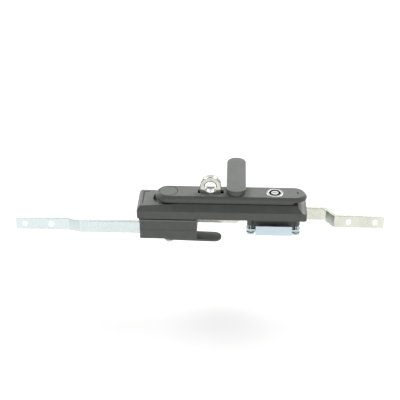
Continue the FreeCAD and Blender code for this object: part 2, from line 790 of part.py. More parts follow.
def tooth(angle):
    # One straight-sided tooth, widest at its root.
    inner = tooth_root - past
    points = [(inner, -tooth_root_width / 2), (tooth_root, -tooth_root_width / 2),
              (pinion_pitch, -tooth_pitch_width / 2), (tooth_top, -tooth_top_width / 2),
              (tooth_top, tooth_top_width / 2), (pinion_pitch, tooth_pitch_width / 2),
              (tooth_root, tooth_root_width / 2), (inner, tooth_root_width / 2)]
    solid = plan_shape(points, rod_middle_z - tooth_length / 2, rod_middle_z + tooth_length / 2)
    solid.rotate(V(0, 0, 0), V(0, 0, 1), angle)
    return solid


def pinion():
    wheel = post(0, 0, rod_middle_z - tooth_length / 2, rod_middle_z + tooth_length / 2, tooth_root)
    step = 360.0 / pinion_teeth
    wheel = wheel.fuse([tooth(90 + k * step) for k in range(pinion_teeth)])
    low = lower_flange_top + end_play
    high = cavity_top - end_play
    wheel = wheel.fuse(post(0, 0, low, high, collar_radius)).removeSplitter()
    half = square_size / 2 + snug
    return wheel.cut(box(-half, half, -half, half, low - past, high + past))


def bar_outline(path, thickness, radius):
    # Middle line with round bends, widened to both sides. Returns one closed plan face.
    points = [V(x, y, 0) for x, y in path]
    left, right = [], []
    start = points[0]
    for k in range(1, len(points)):
        way = (points[k] - points[k - 1]).normalize()
        side = V(-way.y, way.x, 0) * (thickness / 2)
        end = points[k]
        turn = None
        if k < len(points) - 1:
            after = (points[k + 1] - points[k]).normalize()
            bend = atan2(way.x * after.y - way.y * after.x, way.dot(after))
            back = radius * tan(abs(bend) / 2)
            end = points[k] - way * back
            turn = (after, bend, points[k] + after * back)
        left.append(Part.makeLine(start + side, end + side))
        right.append(Part.makeLine(start - side, end - side))
        if turn:
            after, bend, start = turn
            hand = 1 if bend > 0 else -1
            centre = end + V(-way.y, way.x, 0) * (radius * hand)
            for chain, sign in ((left, 1), (right, -1)):
                reach = radius - sign * hand * thickness / 2
                first = (end - centre).normalize() * reach
                last = (start - centre).normalize() * reach
                middle = (first + last).normalize() * reach
                chain.append(Part.Arc(centre + first, centre + middle, centre + last).toShape())
    way = (points[-1] - points[-2]).normalize()
    side = V(-way.y, way.x, 0) * (thickness / 2)
    first_way = (points[1] - points[0]).normalize()
    first_side = V(-first_way.y, first_way.x, 0) * (thickness / 2)
    caps = [Part.makeLine(points[-1] + side, points[-1] - side),
            Part.makeLine(points[0] - first_side, points[0] + first_side)]
    ring = Part.__sortEdges__(left + right + caps)
    return Part.Face(Part.Wire(ring))


def window_cuts(first, last):
    # Row of rack windows, one tooth pitch apart, one of them facing each tooth space.
    cuts = []
    reach = 2 * rod_offset
    for k in range(first, last + 1):
        x = k * window_pitch
        cut = box(x - window_width / 2, x + window_width / 2, -reach, reach,
                  rod_middle_z - window_height / 2, rod_middle_z + window_height / 2)
        cuts.append(cut.makeFillet(window_radius, [e for e in cut.Edges if e.BoundBox.YLength > reach]))
    return cuts


def rod(path, windows, hole_xs):
    flat = bar_outline(path, rod_thickness, bend_radius)
    bar = flat.translated(V(0, 0, rod_low)).extrude(V(0, 0, rod_height))
    level = [e for e in bar.Edges if e.BoundBox.ZLength < tiny]
    long_edges = [e for e in level
                  if e.Length > rod_thickness + tiny or e.Curve.TypeId == "Part::GeomCircle"]
    bar = bar.makeChamfer(rod_edge / 2, long_edges)
    x_low, x_high = sorted((path[0][0], path[-1][0]))
    frame = box(x_low, x_high, -aside, aside, rod_low, rod_low + rod_height)
    frame = frame.makeFillet(rod_corner, [e for e in frame.Edges if e.BoundBox.YLength > aside])
    bar = bar.common(frame)
    cuts = window_cuts(*windows)
    cuts += [cross_post(x, rod_middle_z, -aside, aside, hole_radius) for x in hole_xs]
    return bar.cut(cuts[0].fuse(cuts[1:]))


def left_rod():
    inner_y = -rod_offset
    path = [(rack_end, inner_y), (left_joggle[0], inner_y), (left_joggle[1], left_outer_y),
            (-left_rod_length, left_outer_y)]
    outer = -left_rod_length + hole_margin
    return rod(path, left_windows, [outer, outer + hole_spacing])


def right_rod():
    path = [(-rack_end, rod_offset), (right_bend[0], rod_offset), (right_bend[1], right_mid_y),
            (right_joggle[0], right_mid_y), (right_joggle[1], right_outer_y),
            (right_rod_length, right_outer_y)]
    outer = right_rod_length - hole_margin
    return rod(path, right_windows, [outer, outer - hole_spacing])


def cam_plate():
    half = cam_width / 2
    body = oblong(0, cam_reach - half, half, cam_low, cam_top)
    hole = cam_square / 2 + snug
    edges = [e for e in body.Edges if e.BoundBox.ZLength < tiny]
    body = body.makeChamfer(cam_edge, edges)
    body.rotate(V(0, 0, 0), V(0, 0, 1), cam_turn)
    return body.cut(box(-hole, hole, -hole, hole, cam_low - past, cam_top + past))


def cam_washer():
    return tube(0, 0, cam_low - cam_washer_thickness, cam_low, cam_washer_radius,
                cam_screw_radius + screw_slack)


def split_washer(x, y, z1, thickness, outer, inner):
    ring = tube(x, y, z1 - thickness, z1, outer, inner)
    half = split_gap / 2
    return ring.cut(box(x, x + outer + past, y - half, y + half, z1 - 2 * thickness, z1 + past))


def cam_spring_washer():
    top = cam_low - cam_washer_thickness
    return split_washer(0, 0, top, cam_spring_thickness, cam_spring_radius, cam_screw_radius + screw_slack)


def pan_screw(x, y, head_top, length, radius, head_radius, head_height):
    # Screw hanging head down, with a domed head under head_top and its shank above.
    shank = post(x, y, head_top - lap, head_top + length, radius)
    rim = head_height * head_rim
    dome_height = head_height - rim
    ball = (head_radius ** 2 + dome_height ** 2) / (2 * dome_height)
    drum = post(x, y, head_top - head_height, head_top, head_radius)
    sphere = Part.makeSphere(ball, V(x, y, head_top - head_height + ball))
    head = drum.common(sphere)
    body = head.fuse(shank).removeSplitter()
    return body.cut(cross_recess(x, y, head_top - head_height, False))


def cam_screw():
    top = cam_low - cam_washer_thickness - cam_spring_thickness
    length = cam_washer_thickness + cam_spring_thickness + cam_screw_depth - screw_short
    return pan_screw(0, 0, top, length, cam_screw_radius, cam_head_radius, cam_head_height)


def clamp_bracket():
    half = bracket_width / 2
    x0, x1 = clamp_x - bracket_length / 2, clamp_x + bracket_length / 2
    outer = box(x0, x1, -half, half, bracket_low, bracket_low + bracket_leg)
    bends = [e for e in outer.Edges if e.BoundBox.XLength > bracket_sheet
             and e.BoundBox.ZMax < bracket_low + tiny]
    outer = outer.makeFillet(bracket_bend, bends)
    inner_half = half - bracket_sheet
    inner = box(x0 - past, x1 + past, -inner_half, inner_half, bracket_low + bracket_sheet, 0)
    inner_bends = [e for e in inner.Edges if e.BoundBox.XLength > bracket_sheet
                   and e.BoundBox.ZMax < bracket_low + bracket_sheet + tiny]
    channel = outer.cut(inner.makeFillet(bracket_bend - bracket_sheet, inner_bends))
    ends = clamp_places()
    tongue = oblong(0, ends[1] - ends[0], tab_width / 2, bracket_low, bracket_low + bracket_sheet)
    body = channel.fuse(tongue.translated(V(ends[0], 0, 0))).removeSplitter()
    for x in ends:
        body = body.cut(post(x, 0, bracket_low - past, 0, clamp_screw_radius + hole_slack))
    return body


def clamp_washers():
    inner = clamp_screw_radius + screw_slack
    return Part.makeCompound([tube(x, 0, bracket_low - clamp_washer_thickness, bracket_low,
                                   clamp_washer_radius, inner) for x in clamp_places()])


def clamp_spring_washers():
    top = bracket_low - clamp_washer_thickness
    return Part.makeCompound([split_washer(x, 0, top, clamp_spring_thickness, clamp_spring_radius,
                                           clamp_screw_radius + screw_slack) for x in clamp_places()])


def clamp_screws():
    top = bracket_low - clamp_washer_thickness - clamp_spring_thickness
    length = -boss_length + clamp_screw_bite - top
    return Part.makeCompound([pan_screw(x, 0, top, length, clamp_screw_radius, clamp_head_radius,
                                        clamp_head_height) for x in clamp_places()])


pieces = [base_plate, door_gasket, hub_bush, gearbox_housing, gearbox_cover, gearbox_screws, lower_bush,
          clamp_bracket, clamp_washers, clamp_spring_washers, clamp_screws, spindle_hub, padlock_staple,
          staple_screws, pinion, spindle_seal, retaining_ring, cam_plate, cam_washer, cam_spring_washer,
          cam_screw, handle, hub_cap, tilt_pin, cylinder_body, cylinder_clip, cylinder_core, lock_cam,
          cam_clip, dust_cover, dust_cover_pin, cover_washer, left_rod, right_rod]

os.makedirs("parts", exist_ok=True)
print("rod travel", round(rod_travel, 2), "mm for", swing_angle, "degrees of swing")
for piece in pieces:
    shape = piece()
    name = piece.__name__
    print(name, "solids", len(shape.Solids), "valid", shape.isValid(), "volume", round(shape.Volume, 1))
    shape.exportStep("parts/" + name + ".step")
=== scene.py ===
# %% [markdown]
# # A three-point cabinet lock, finished in Blender
#
# The lock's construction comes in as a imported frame: every piece already has its real size and place,
# in metres, with +X along the handle and +Z out of the door. This notebook adds what the eye needs:
# finishes, small rounded forms, a camera and light. The frame's own pieces are never moved.

# %% Load the frame
import math
import bmesh
import bpy
import numpy as np
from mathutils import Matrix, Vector


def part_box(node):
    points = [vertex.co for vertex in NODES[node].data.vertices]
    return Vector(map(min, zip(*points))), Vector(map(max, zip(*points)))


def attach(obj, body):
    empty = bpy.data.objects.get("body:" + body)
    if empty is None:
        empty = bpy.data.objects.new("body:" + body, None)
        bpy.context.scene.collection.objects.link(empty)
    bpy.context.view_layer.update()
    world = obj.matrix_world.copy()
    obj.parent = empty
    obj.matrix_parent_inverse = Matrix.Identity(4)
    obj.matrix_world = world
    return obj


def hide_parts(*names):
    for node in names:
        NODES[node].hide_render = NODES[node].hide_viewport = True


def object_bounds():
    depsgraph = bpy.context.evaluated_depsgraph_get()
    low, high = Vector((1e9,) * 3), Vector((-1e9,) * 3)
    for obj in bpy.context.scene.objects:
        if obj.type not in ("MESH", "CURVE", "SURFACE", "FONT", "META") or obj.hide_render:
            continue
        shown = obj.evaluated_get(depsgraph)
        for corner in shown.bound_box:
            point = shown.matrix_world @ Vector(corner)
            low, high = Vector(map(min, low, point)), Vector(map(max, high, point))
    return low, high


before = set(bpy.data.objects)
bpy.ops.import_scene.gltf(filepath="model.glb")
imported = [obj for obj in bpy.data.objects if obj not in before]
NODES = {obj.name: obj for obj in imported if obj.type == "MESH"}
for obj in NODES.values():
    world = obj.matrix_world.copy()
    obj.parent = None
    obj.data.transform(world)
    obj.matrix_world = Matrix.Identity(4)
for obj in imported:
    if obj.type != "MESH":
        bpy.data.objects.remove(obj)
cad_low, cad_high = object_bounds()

MM = 0.001

# %% [markdown]
# ## The camera
#
# A pinhole camera is fixed by its place, its aim and its focal length. These values come from a fit of
# measured corners of the lock to the photograph, so the lock falls on the same pixels. The camera looks
# down by about thirty degrees and stands slightly towards the tip of the handle.

# %% Camera at the photograph's viewing angle
AIM = Vector((37.42, 0.0, 13.20)) * MM
DISTANCE = 1150.12 * MM
TURN = math.radians(-2.144)
ELEVATION = math.radians(30.751)
FOCAL_PIXELS = 966.94
IMAGE_PIXELS = 400
SENSOR = 36.0
NEAR, FAR = 0.01, 20.0           # the camera sees between these distances, in metres

forward = Vector((math.sin(TURN) * math.cos(ELEVATION), math.cos(TURN) * math.cos(ELEVATION),
                  -math.sin(ELEVATION)))
camera_data = bpy.data.cameras.new("photo_camera")
camera_data.sensor_width = SENSOR
camera_data.lens = SENSOR * FOCAL_PIXELS / IMAGE_PIXELS
camera_data.clip_start, camera_data.clip_end = NEAR, FAR
camera = bpy.data.objects.new("photo_camera", camera_data)
camera.location = AIM - forward * DISTANCE
camera.rotation_euler = forward.to_track_quat("-Z", "Y").to_euler()
bpy.context.scene.collection.objects.link(camera)
bpy.context.scene.camera = camera
print("camera at", tuple(round(c, 3) for c in camera.location), "lens", round(camera_data.lens, 1), "mm")

# %% [markdown]
# ## Node materials
#
# Every finish here is a small network of shader nodes. One helper adds a node, sets its properties and
# fills its sockets, either with a value or with another node's output. Colours are written as sRGB hex,
# as a paint chart gives them, and turned to the linear values that the renderer works with. A noise is
# given by the size of its spots in millimetres, so that it stays true to the piece.

# %% Helpers for colours and nodes
def linear(hex_colour, alpha=1.0):
    """sRGB hex to linear RGBA: c / 12.92 below 0.04045, else ((c + 0.055) / 1.055) ** 2.4."""
    values = [int(hex_colour[i:i + 2], 16) / 255 for i in (1, 3, 5)]
    values = [v / 12.92 if v <= 0.04045 else ((v + 0.055) / 1.055) ** 2.4 for v in values]
    return (*values, alpha)


def add(tree, kind, sockets=None, **settings):
    """Adds a node. settings are its properties; sockets maps an input to a value or an output."""
    node = tree.nodes.new(kind)
    for name, value in settings.items():
        setattr(node, name, value)
    for key, value in (sockets or {}).items():
        if isinstance(value, bpy.types.NodeSocket):
            tree.links.new(value, node.inputs[key])
        else:
            node.inputs[key].default_value = value
    return node


def per_size(size_mm):
    """Noise scale, in repeats per metre, whose features are about size_mm across."""
    return 1.0 / (size_mm * MM)


print("mid grey #808080 is", round(linear("#808080")[0], 3), "in linear light")

# %% [markdown]
# A new material starts with a Principled shader and Object coordinates. On every piece of this lock the
# object sits at the origin, so these coordinates are the lock's own, in metres. Two more helpers hold
# what all finishes share: a colour that is clouded by a noise, and the three links to the shader.

# %% Start and end of a finish
def new_material(name):
    """An empty node material with its shader and Object coordinates, in metres."""
    material = bpy.data.materials.new(name)
    material.use_nodes = True
    tree = material.node_tree
    tree.nodes.clear()
    shader = add(tree, "ShaderNodeBsdfPrincipled")
    add(tree, "ShaderNodeOutputMaterial", {"Surface": shader.outputs["BSDF"]})
    place = add(tree, "ShaderNodeTexCoord").outputs["Object"]
    return material, tree, shader, place


def clouded(tree, noise, span, dark, pale):
    """Colour that goes from dark to pale as a noise goes from the start of span to its end."""
    share = add(tree, "ShaderNodeMapRange", {"Value": noise, "From Min": span[0],
                                             "From Max": span[1]}).outputs["Result"]
    return add(tree, "ShaderNodeMix", {"Factor": share, "A": linear(dark), "B": linear(pale)},
               data_type="RGBA").outputs["Result"]


def link_skin(tree, shader, colour, roughness, normal):
    """Links a surface's colour, roughness and normal to its shader."""
    for socket, source in (("Base Color", colour), ("Roughness", roughness), ("Normal", normal)):
        tree.links.new(source, shader.inputs[socket])


NOISE_ROUGHNESS = 0.55
NOISE_SPAN = (0.3, 0.7)          # nearly all of a noise lies between these two
SUM_SPAN = (0.76, 1.24)          # and nearly all of the sum of two between these
print("helpers ready, a noise is taken to run from", *NOISE_SPAN)

# %% [markdown]
# ## Black finishes
#
# Each surface below mixes two close colours by a noise, varies its gloss a little and gets its normal
# from two bumps. The depth of a bump is the height between its lowest and its highest point.
#
# The bezel and the handle are zinc die castings with a black powder coat. The gearbox is moulded in
# glass-filled nylon. The cap and the dust cover are plain satin plastic. All of them look dark grey,
# because their rough skin mirrors the pale room, so they share one network and differ in its values.

# %% A dark skin with waves and grain
CLOUD_MM = 9.0
BLACK_SWING = 0.04               # roughness goes up and down by this much
SKIN_IOR = 1.5                   # of powder paint, nylon and rubber alike


def black_skin(name, dark, pale, rough, peel_mm, peel_depth, grain_mm, grain_depth):
    """Dark skin: colour clouded over 9 mm, waves of one size and a finer grain over them.
    Returns the material, its tree, its shader and its place, so that a finish can be taken further."""
    material, tree, shader, place = new_material(name)
    cloud, peel, grain = [
        add(tree, "ShaderNodeTexNoise", {"Vector": place, "Scale": per_size(size), "Detail": detail,
                                         "Roughness": NOISE_ROUGHNESS}).outputs["Fac"]
        for size, detail in ((CLOUD_MM, 2.0), (peel_mm, 1.0), (grain_mm, 2.0))]
    both = add(tree, "ShaderNodeMath", {0: cloud, 1: grain}, operation="ADD").outputs[0]
    colour = clouded(tree, both, SUM_SPAN, dark, pale)
    gloss = add(tree, "ShaderNodeMapRange", {
        "Value": cloud, "From Min": NOISE_SPAN[0], "From Max": NOISE_SPAN[1],
        "To Min": rough - BLACK_SWING, "To Max": rough + BLACK_SWING}).outputs["Result"]
    waves = add(tree, "ShaderNodeBump", {"Height": peel, "Distance": peel_depth * MM})
    skin = add(tree, "ShaderNodeBump", {"Height": grain, "Distance": grain_depth * MM,
                                        "Normal": waves.outputs["Normal"]})
    link_skin(tree, shader, colour, gloss, skin.outputs["Normal"])
    shader.inputs["IOR"].default_value = SKIN_IOR
    return material, tree, shader, place


print("a dark skin is clouded over", CLOUD_MM, "mm")

# %% [markdown]
# Each finish gives two colours, the roughness, and the size and depth in millimetres of the waves and
# of the grain. Real powder grain and mould grain are finer than a pixel here: they are drawn a quarter
# to a third of a millimetre wide, the least that still breaks up a reflection.

# %% Powder coat, moulded nylon and the other dark surfaces
# Powder melts into a skin with a faint orange peel: soft sheen, edges that are never quite sharp.
COAT = dict(dark="#686B68", pale="#717371", rough=0.46,
            peel_mm=1.1, peel_depth=0.012, grain_mm=0.28, grain_depth=0.006)
powder_coat = black_skin("black_powder_coat", **COAT)[0]
# The nylon's mould was spark eroded: coarser grain, duller than the coat, no clear reflection.
NYLON = dict(dark="#6D706D", pale="#767876", rough=0.58,
             peel_mm=1.6, peel_depth=0.008, grain_mm=0.35, grain_depth=0.014)
moulded_nylon = black_skin("moulded_black_nylon", **NYLON)[0]
# A fine-textured mould leaves a smoother, slightly glossier face than the castings beside it.
satin_plastic = black_skin("satin_black_plastic", "#6A6C6A", "#737573", rough=0.42,
                           peel_mm=2.2, peel_depth=0.004, grain_mm=0.22, grain_depth=0.004)[0]
# Phosphate crystals under oil: an even, matt grey-black without any metal shine.
phosphated_steel = black_skin("phosphated_steel", "#6C6E6C", "#7A7C7A", rough=0.50,
                              peel_mm=0.9, peel_depth=0.006, grain_mm=0.16, grain_depth=0.008)[0]
# Carbon-filled rubber swallows light: nearly black, with no highlight.
rubber = black_skin("moulded_rubber", "#1D1E1E", "#262727", rough=0.75,
                    peel_mm=1.4, peel_depth=0.010, grain_mm=0.20, grain_depth=0.010)[0]
print("black finishes:", *(m.name for m in (powder_coat, moulded_nylon, satin_plastic,
                                            phosphated_steel, rubber)))

# %% [markdown]
# ## Metal finishes
#
# The rods, the clamp and the screws are steel with bright zinc plate. A thin passivation layer tints it:
# bluish where it is thin and yellowish where it is thicker. Zinc mirrors the room dimly, and cold drawn
# bars keep fine lines along their length. The padlock eye and the key cylinder are nickel plated, which
# is warmer and clearer. A metal's colour sits in its base colour, and its roughness decides how clear
# the mirror is. Lines are a noise that is stretched along one axis before it becomes a bump. Real lines
# are a few hundredths of a millimetre wide and would not show, so they are drawn about ten times as wide.

# %% A metal with patches, uneven gloss and fine lines
GLOSS_MM = 1.6
SMOOTHER, ROUGHER = 0.04, 0.05   # roughness goes down and up by this much
LINE_STRETCH = 0.02              # a line is fifty times as long as it is wide


def plated(name, dark, pale, rough, patch_mm, line_axis, line_mm, line_depth):
    """Metal with clouded colour, uneven gloss and a fine bump, as lines where line_axis is given.
    Returns the material, its tree, its shader and its place, so that a finish can be taken further."""
    material, tree, shader, place = new_material(name)
    shader.inputs["Metallic"].default_value = 1.0
    lined = place
    if line_axis is not None:
        stretch = [1.0, 1.0, 1.0]
        stretch["XYZ".index(line_axis)] = LINE_STRETCH
        lined = add(tree, "ShaderNodeMapping", {"Vector": place, "Scale": stretch}).outputs["Vector"]
    patch, uneven, lines = [
        add(tree, "ShaderNodeTexNoise", {"Vector": where, "Scale": per_size(size), "Detail": 2.0,
                                         "Roughness": NOISE_ROUGHNESS}).outputs["Fac"]
        for where, size in ((place, patch_mm), (place, GLOSS_MM), (lined, line_mm))]
    colour = clouded(tree, patch, NOISE_SPAN, dark, pale)
    gloss = add(tree, "ShaderNodeMapRange", {
        "Value": uneven, "From Min": NOISE_SPAN[0], "From Max": NOISE_SPAN[1],
        "To Min": rough - SMOOTHER, "To Max": rough + ROUGHER}).outputs["Result"]
    drawn = add(tree, "ShaderNodeBump", {"Height": lines, "Distance": line_depth * MM})
    link_skin(tree, shader, colour, gloss, drawn.outputs["Normal"])
    return material, tree, shader, place


print("a metal's gloss changes over", GLOSS_MM, "mm")

# %% [markdown]
# Each finish gives two colours, the roughness, the size of the patches, and the axis, width and depth
# of the lines. Without an axis the lines are short in all directions, as a bead-blasted face is. The
# washers and screws were barrel plated in a heap, so their tint changes over a few millimetres, while
# the eye was plated on a hook and is even.

# %% Plated and bare metals
# Bright zinc on small parts: clear, slightly blue glints between darker patches.
zinc_small = plated("zinc_plate_small_parts", "#9AA6AC", "#D4DBDC", rough=0.16, patch_mm=2.4,
                    line_axis=None, line_mm=0.35, line_depth=0.0015)[0]
# Bright nickel: a clear mirror with a faint warm tint.
nickel = plated("nickel_plate", "#C5C6BC", "#D8D9D1", rough=0.10, patch_mm=6.0,
                line_axis=None, line_mm=0.6, line_depth=0.0012)[0]
# Satin nickel on the cylinder's ring: whiter, and softer at its edges.
ring_nickel = plated("nickel_plate_cylinder", "#CCCCCA", "#DEDEDC", rough=0.16, patch_mm=3.0,
                     line_axis=None, line_mm=0.6, line_depth=0.0012)[0]
# Steel from the lathe or the saw: grey, with lines that draw its reflections out.
bare_steel = plated("turned_steel", "#A5A6A4", "#BDBDBA", rough=0.30, patch_mm=3.0,
                    line_axis="Z", line_mm=0.3, line_depth=0.003)[0]
# Hardened spring steel under oil: dark and glossy, so it sets the washers off from the screws.
dark_spring = plated("oiled_spring_steel", "#5B5F62", "#7E8386", rough=0.24, patch_mm=2.0,
                     line_axis=None, line_mm=0.3, line_depth=0.003)[0]
# Pressed from powder: brownish gold, dull and porous.
bronze = plated("sintered_bronze", "#A98046", "#C29A5E", rough=0.42, patch_mm=1.2,
                line_axis=None, line_mm=0.25, line_depth=0.012)[0]
print("metal finishes:", *(m.name for m in (zinc_small, nickel, ring_nickel, bare_steel,
                                            dark_spring, bronze)))

# %% [markdown]
# ### Finishes that change from place to place
#
# Some finishes differ between one end of a piece and another: an edge is duller than a face, a bend is
# darker than the straight bar, a hole is dark inside. Each of these depends on a height, on a length
# along the lock or on the distance from an upright axis. Three functions turn such a measure into a
# share from 0 to 1, and a fourth uses the share to change a finished colour.

# %% Shares by place
def height_share(tree, place, low, high):
    """0 at the height low and below, 1 at high and above, in mm along the door's normal."""
    height = add(tree, "ShaderNodeSeparateXYZ", {0: place}).outputs["Z"]
    return add(tree, "ShaderNodeMapRange", {"Value": height, "From Min": low * MM,
                                            "From Max": high * MM}).outputs["Result"]


def radius_share(tree, place, x, inner, outer):
    """0 within inner of the upright axis at x, 1 beyond outer, in mm. The height is flattened first."""
    flat = add(tree, "ShaderNodeMapping", {"Vector": place, "Scale": (1.0, 1.0, 0.0)}).outputs["Vector"]
    radius = add(tree, "ShaderNodeVectorMath", {0: flat, 1: (x * MM, 0.0, 0.0)},
                 operation="DISTANCE").outputs["Value"]
    return add(tree, "ShaderNodeMapRange", {"Value": radius, "From Min": inner * MM,
                                            "From Max": outer * MM}).outputs["Result"]


def stretch_share(tree, place, start, end, soft=1.0):
    """1 where the length along the lock lies between start and end, falling to 0 over soft, in mm."""
    along = add(tree, "ShaderNodeSeparateXYZ", {0: place}).outputs["X"]
    middle, half = (start + end) / 2, abs(end - start) / 2
    off = add(tree, "ShaderNodeMath", {0: along, 1: middle * MM}, operation="SUBTRACT").outputs[0]
    off = add(tree, "ShaderNodeMath", {0: off}, operation="ABSOLUTE").outputs[0]
    return add(tree, "ShaderNodeMapRange", {
        "Value": off, "From Min": half * MM, "From Max": (half + soft) * MM,
        "To Min": 1.0, "To Max": 0.0}).outputs["Result"]


def tint_by(tree, shader, share, low=None, high=None):
    """Base colour goes from low to high with share. One left out is the colour that it had."""
    had = shader.inputs["Base Color"].links[0].from_socket
    tinted = add(tree, "ShaderNodeMix", {"Factor": share, "A": had if low is None else low,
                                         "B": had if high is None else high}, data_type="RGBA")
    tree.links.new(tinted.outputs["Result"], shader.inputs["Base Color"])


print("shares by height, radius and stretch ready")

# %% [markdown]
# The rods are sheared from strip and bent cold. The sheared edge is duller than the rolled face, and
# where the strip was bent, painted shade darkens it, most of all near its upper edge. The left
# rod's passivation came out thin and blue, the right one's thicker and yellow.

# %% Zinc on the rods
ROD_TOP, ROD_LOW = -9.5, -25.5
EDGE_FROM, EDGE_TO = 0.2, 0.5    # the sheared edge's tint fades out between these distances from it


def rod_zinc_bend_shade(name, skin, joggle, bend_shade_top, bend_shade_low, sheared):
    """Zinc plate on a bent strip. skin is the plate's colours, roughness and patch size, joggle the
    bend's stretch along the lock; the two colours of the painted shade on the bend and the sheared edge's
    one follow."""
    material, tree, shader, place = plated(name, **skin, line_axis="X", line_mm=0.5, line_depth=0.0008)
    # painted shade on the bend: its colour is darker towards the bend's upper edge
    bent = add(tree, "ShaderNodeMix", {"Factor": height_share(tree, place, ROD_LOW, ROD_TOP),
                                       "A": linear(bend_shade_low), "B": linear(bend_shade_top)}, data_type="RGBA")
    tint_by(tree, shader, stretch_share(tree, place, *joggle), high=bent.outputs["Result"])
    near_top = height_share(tree, place, ROD_TOP - EDGE_TO, ROD_TOP - EDGE_FROM)
    tint_by(tree, shader, near_top, high=linear(sheared))
    off_low = height_share(tree, place, ROD_LOW + EDGE_FROM, ROD_LOW + EDGE_TO)
    tint_by(tree, shader, off_low, low=linear(sheared))
    return material


# Thin passivation: a cool white with a trace of blue, and a little painted shade on the joggle.
zinc_blue = rod_zinc_bend_shade("zinc_plate_blue_passivated",
                     dict(dark="#D9E4E6", pale="#E1EAEA", rough=0.26, patch_mm=24.0),
                     joggle=(-106.5, -119.0), bend_shade_top="#CBD5D8", bend_shade_low="#D8E1E3", sheared="#C9D2D4")
# Thicker passivation: straw-coloured patches, and a joggle made grey by painted shade.
zinc_yellow = rod_zinc_bend_shade("zinc_plate_yellow_passivated",
                       dict(dark="#D6D8C9", pale="#E4E5DB", rough=0.28, patch_mm=18.0),
                       joggle=(190.5, 198.5), bend_shade_top="#6F7774", bend_shade_low="#B4B8B2", sheared="#C2C4B6")
print("rods:", zinc_blue.name, zinc_yellow.name)

# %% [markdown]
# The clamp's bracket has a tint that goes from bluish at the top to greenish at the bottom, and painted
# shade darkens its lower edge. The gearbox has a lip round its top that is lightened by a painted
# highlight, so it looks paler.

# %% Bracket zinc and gearbox lip
BRACKET_TOP, BRACKET_LOW = -11.0, -25.0
DRIFT_MARGIN = 3.0               # the drift begins and ends this far from the two edges
EDGE_SHADE_FROM, EDGE_SHADE_TO = 0.4, 1.6    # the painted shade on the lower edge fades out between these distances from it
bracket_zinc, tree, shader, place = plated(
    "zinc_plate_bracket", "#C8DBDE", "#CFE0E2", rough=0.22, patch_mm=14.0,
    line_axis="X", line_mm=0.4, line_depth=0.001)
tint_by(tree, shader, height_share(tree, place, BRACKET_LOW + DRIFT_MARGIN, BRACKET_TOP - DRIFT_MARGIN),
        high=linear("#CBD6E2"))
# painted shade: the bracket's lower edge is darker
tint_by(tree, shader, height_share(tree, place, BRACKET_LOW + EDGE_SHADE_FROM, BRACKET_LOW + EDGE_SHADE_TO),
        low=linear("#B4C8D0"))

GEARBOX_TOP = -2.1
LIP_FROM, LIP_TO = 1.2, 1.6      # the painted highlight fades out between these depths
lip_highlight_nylon, tree, shader, place = black_skin("moulded_nylon_painted_lip_highlight", **NYLON)
# painted highlight: the lip round the gearbox's top is lighter, as where it catches light
tint_by(tree, shader, height_share(tree, place, GEARBOX_TOP - LIP_TO, GEARBOX_TOP - LIP_FROM),
        high=linear("#9EA09E"))
print("finishes by height:", bracket_zinc.name, lip_highlight_nylon.name)

# %% [markdown]
# The key's core gets painted shade round its middle and under its face, so a bright disc with the key's
# slot stands in a dark ring. On the handle, a small blind hole near the tip is darkened inside by painted
# shade. Both are a radius from an upright axis, joined with a height: the plate's colour shows where a
# point is on the face and within the middle, and the coat's colour where a point is high enough or
# outside the hole.

# %% Key core and handle coat
KEY_X, CORE_FACE = 125.9, 25.2
FACE_FROM, FACE_TO = 0.15, 0.35  # depths under the core's face over which the painted shade sets in
MIDDLE_IN, MIDDLE_OUT = 4.3, 4.6  # and the radii over which it does
PLATE_ROUGHNESS, BLACK_ROUGHNESS = 0.22, 0.6
key_nickel, tree, shader, place = plated(
    "nickel_key_core_ring_shade", "#CFCECA", "#FAF9F6", rough=PLATE_ROUGHNESS, patch_mm=1.1,
    line_axis=None, line_mm=0.5, line_depth=0.004)
on_face = height_share(tree, place, CORE_FACE - FACE_TO, CORE_FACE - FACE_FROM)
off_middle = radius_share(tree, place, KEY_X, MIDDLE_IN, MIDDLE_OUT)
bright = add(tree, "ShaderNodeMath", {0: on_face, 1: off_middle}, operation="SUBTRACT",
             use_clamp=True).outputs[0]
# painted shade: near black round the core's middle and under its face
tint_by(tree, shader, bright, low=linear("#262625"))
core_rough = add(tree, "ShaderNodeMapRange", {"Value": bright, "To Min": BLACK_ROUGHNESS,
                                              "To Max": PLATE_ROUGHNESS}).outputs["Result"]
tree.links.new(core_rough, shader.inputs["Roughness"])

HANDLE_TOP, HOLE_X = 25.3, 152.9
RIM_FROM, RIM_TO = 0.1, 0.5      # depths under the handle's top over which the painted shade in the hole sets in
HOLE_IN, HOLE_OUT = 1.35, 1.6
handle_coat, tree, shader, place = black_skin("handle_coat_hole_shade", **COAT)
high_up = height_share(tree, place, HANDLE_TOP - RIM_TO, HANDLE_TOP - RIM_FROM)
outside = radius_share(tree, place, HOLE_X, HOLE_IN, HOLE_OUT)
outside_hole_shade = add(tree, "ShaderNodeMath", {0: high_up, 1: outside}, operation="MAXIMUM").outputs[0]
# painted shade: near black inside the small hole near the handle's tip
tint_by(tree, shader, outside_hole_shade, low=linear("#0C0C0C"))
print("finishes by radius:", key_nickel.name, handle_coat.name)

# %% [markdown]
# ## Finishes on the frame's own pieces
#
# A piece of the frame whose shape is right keeps its mesh and only gets a finish. The list names each one
# once, grouped by finish. A piece that is worked out again further down still has its finish here, so
# that nothing stays grey if that piece is looked at alone.

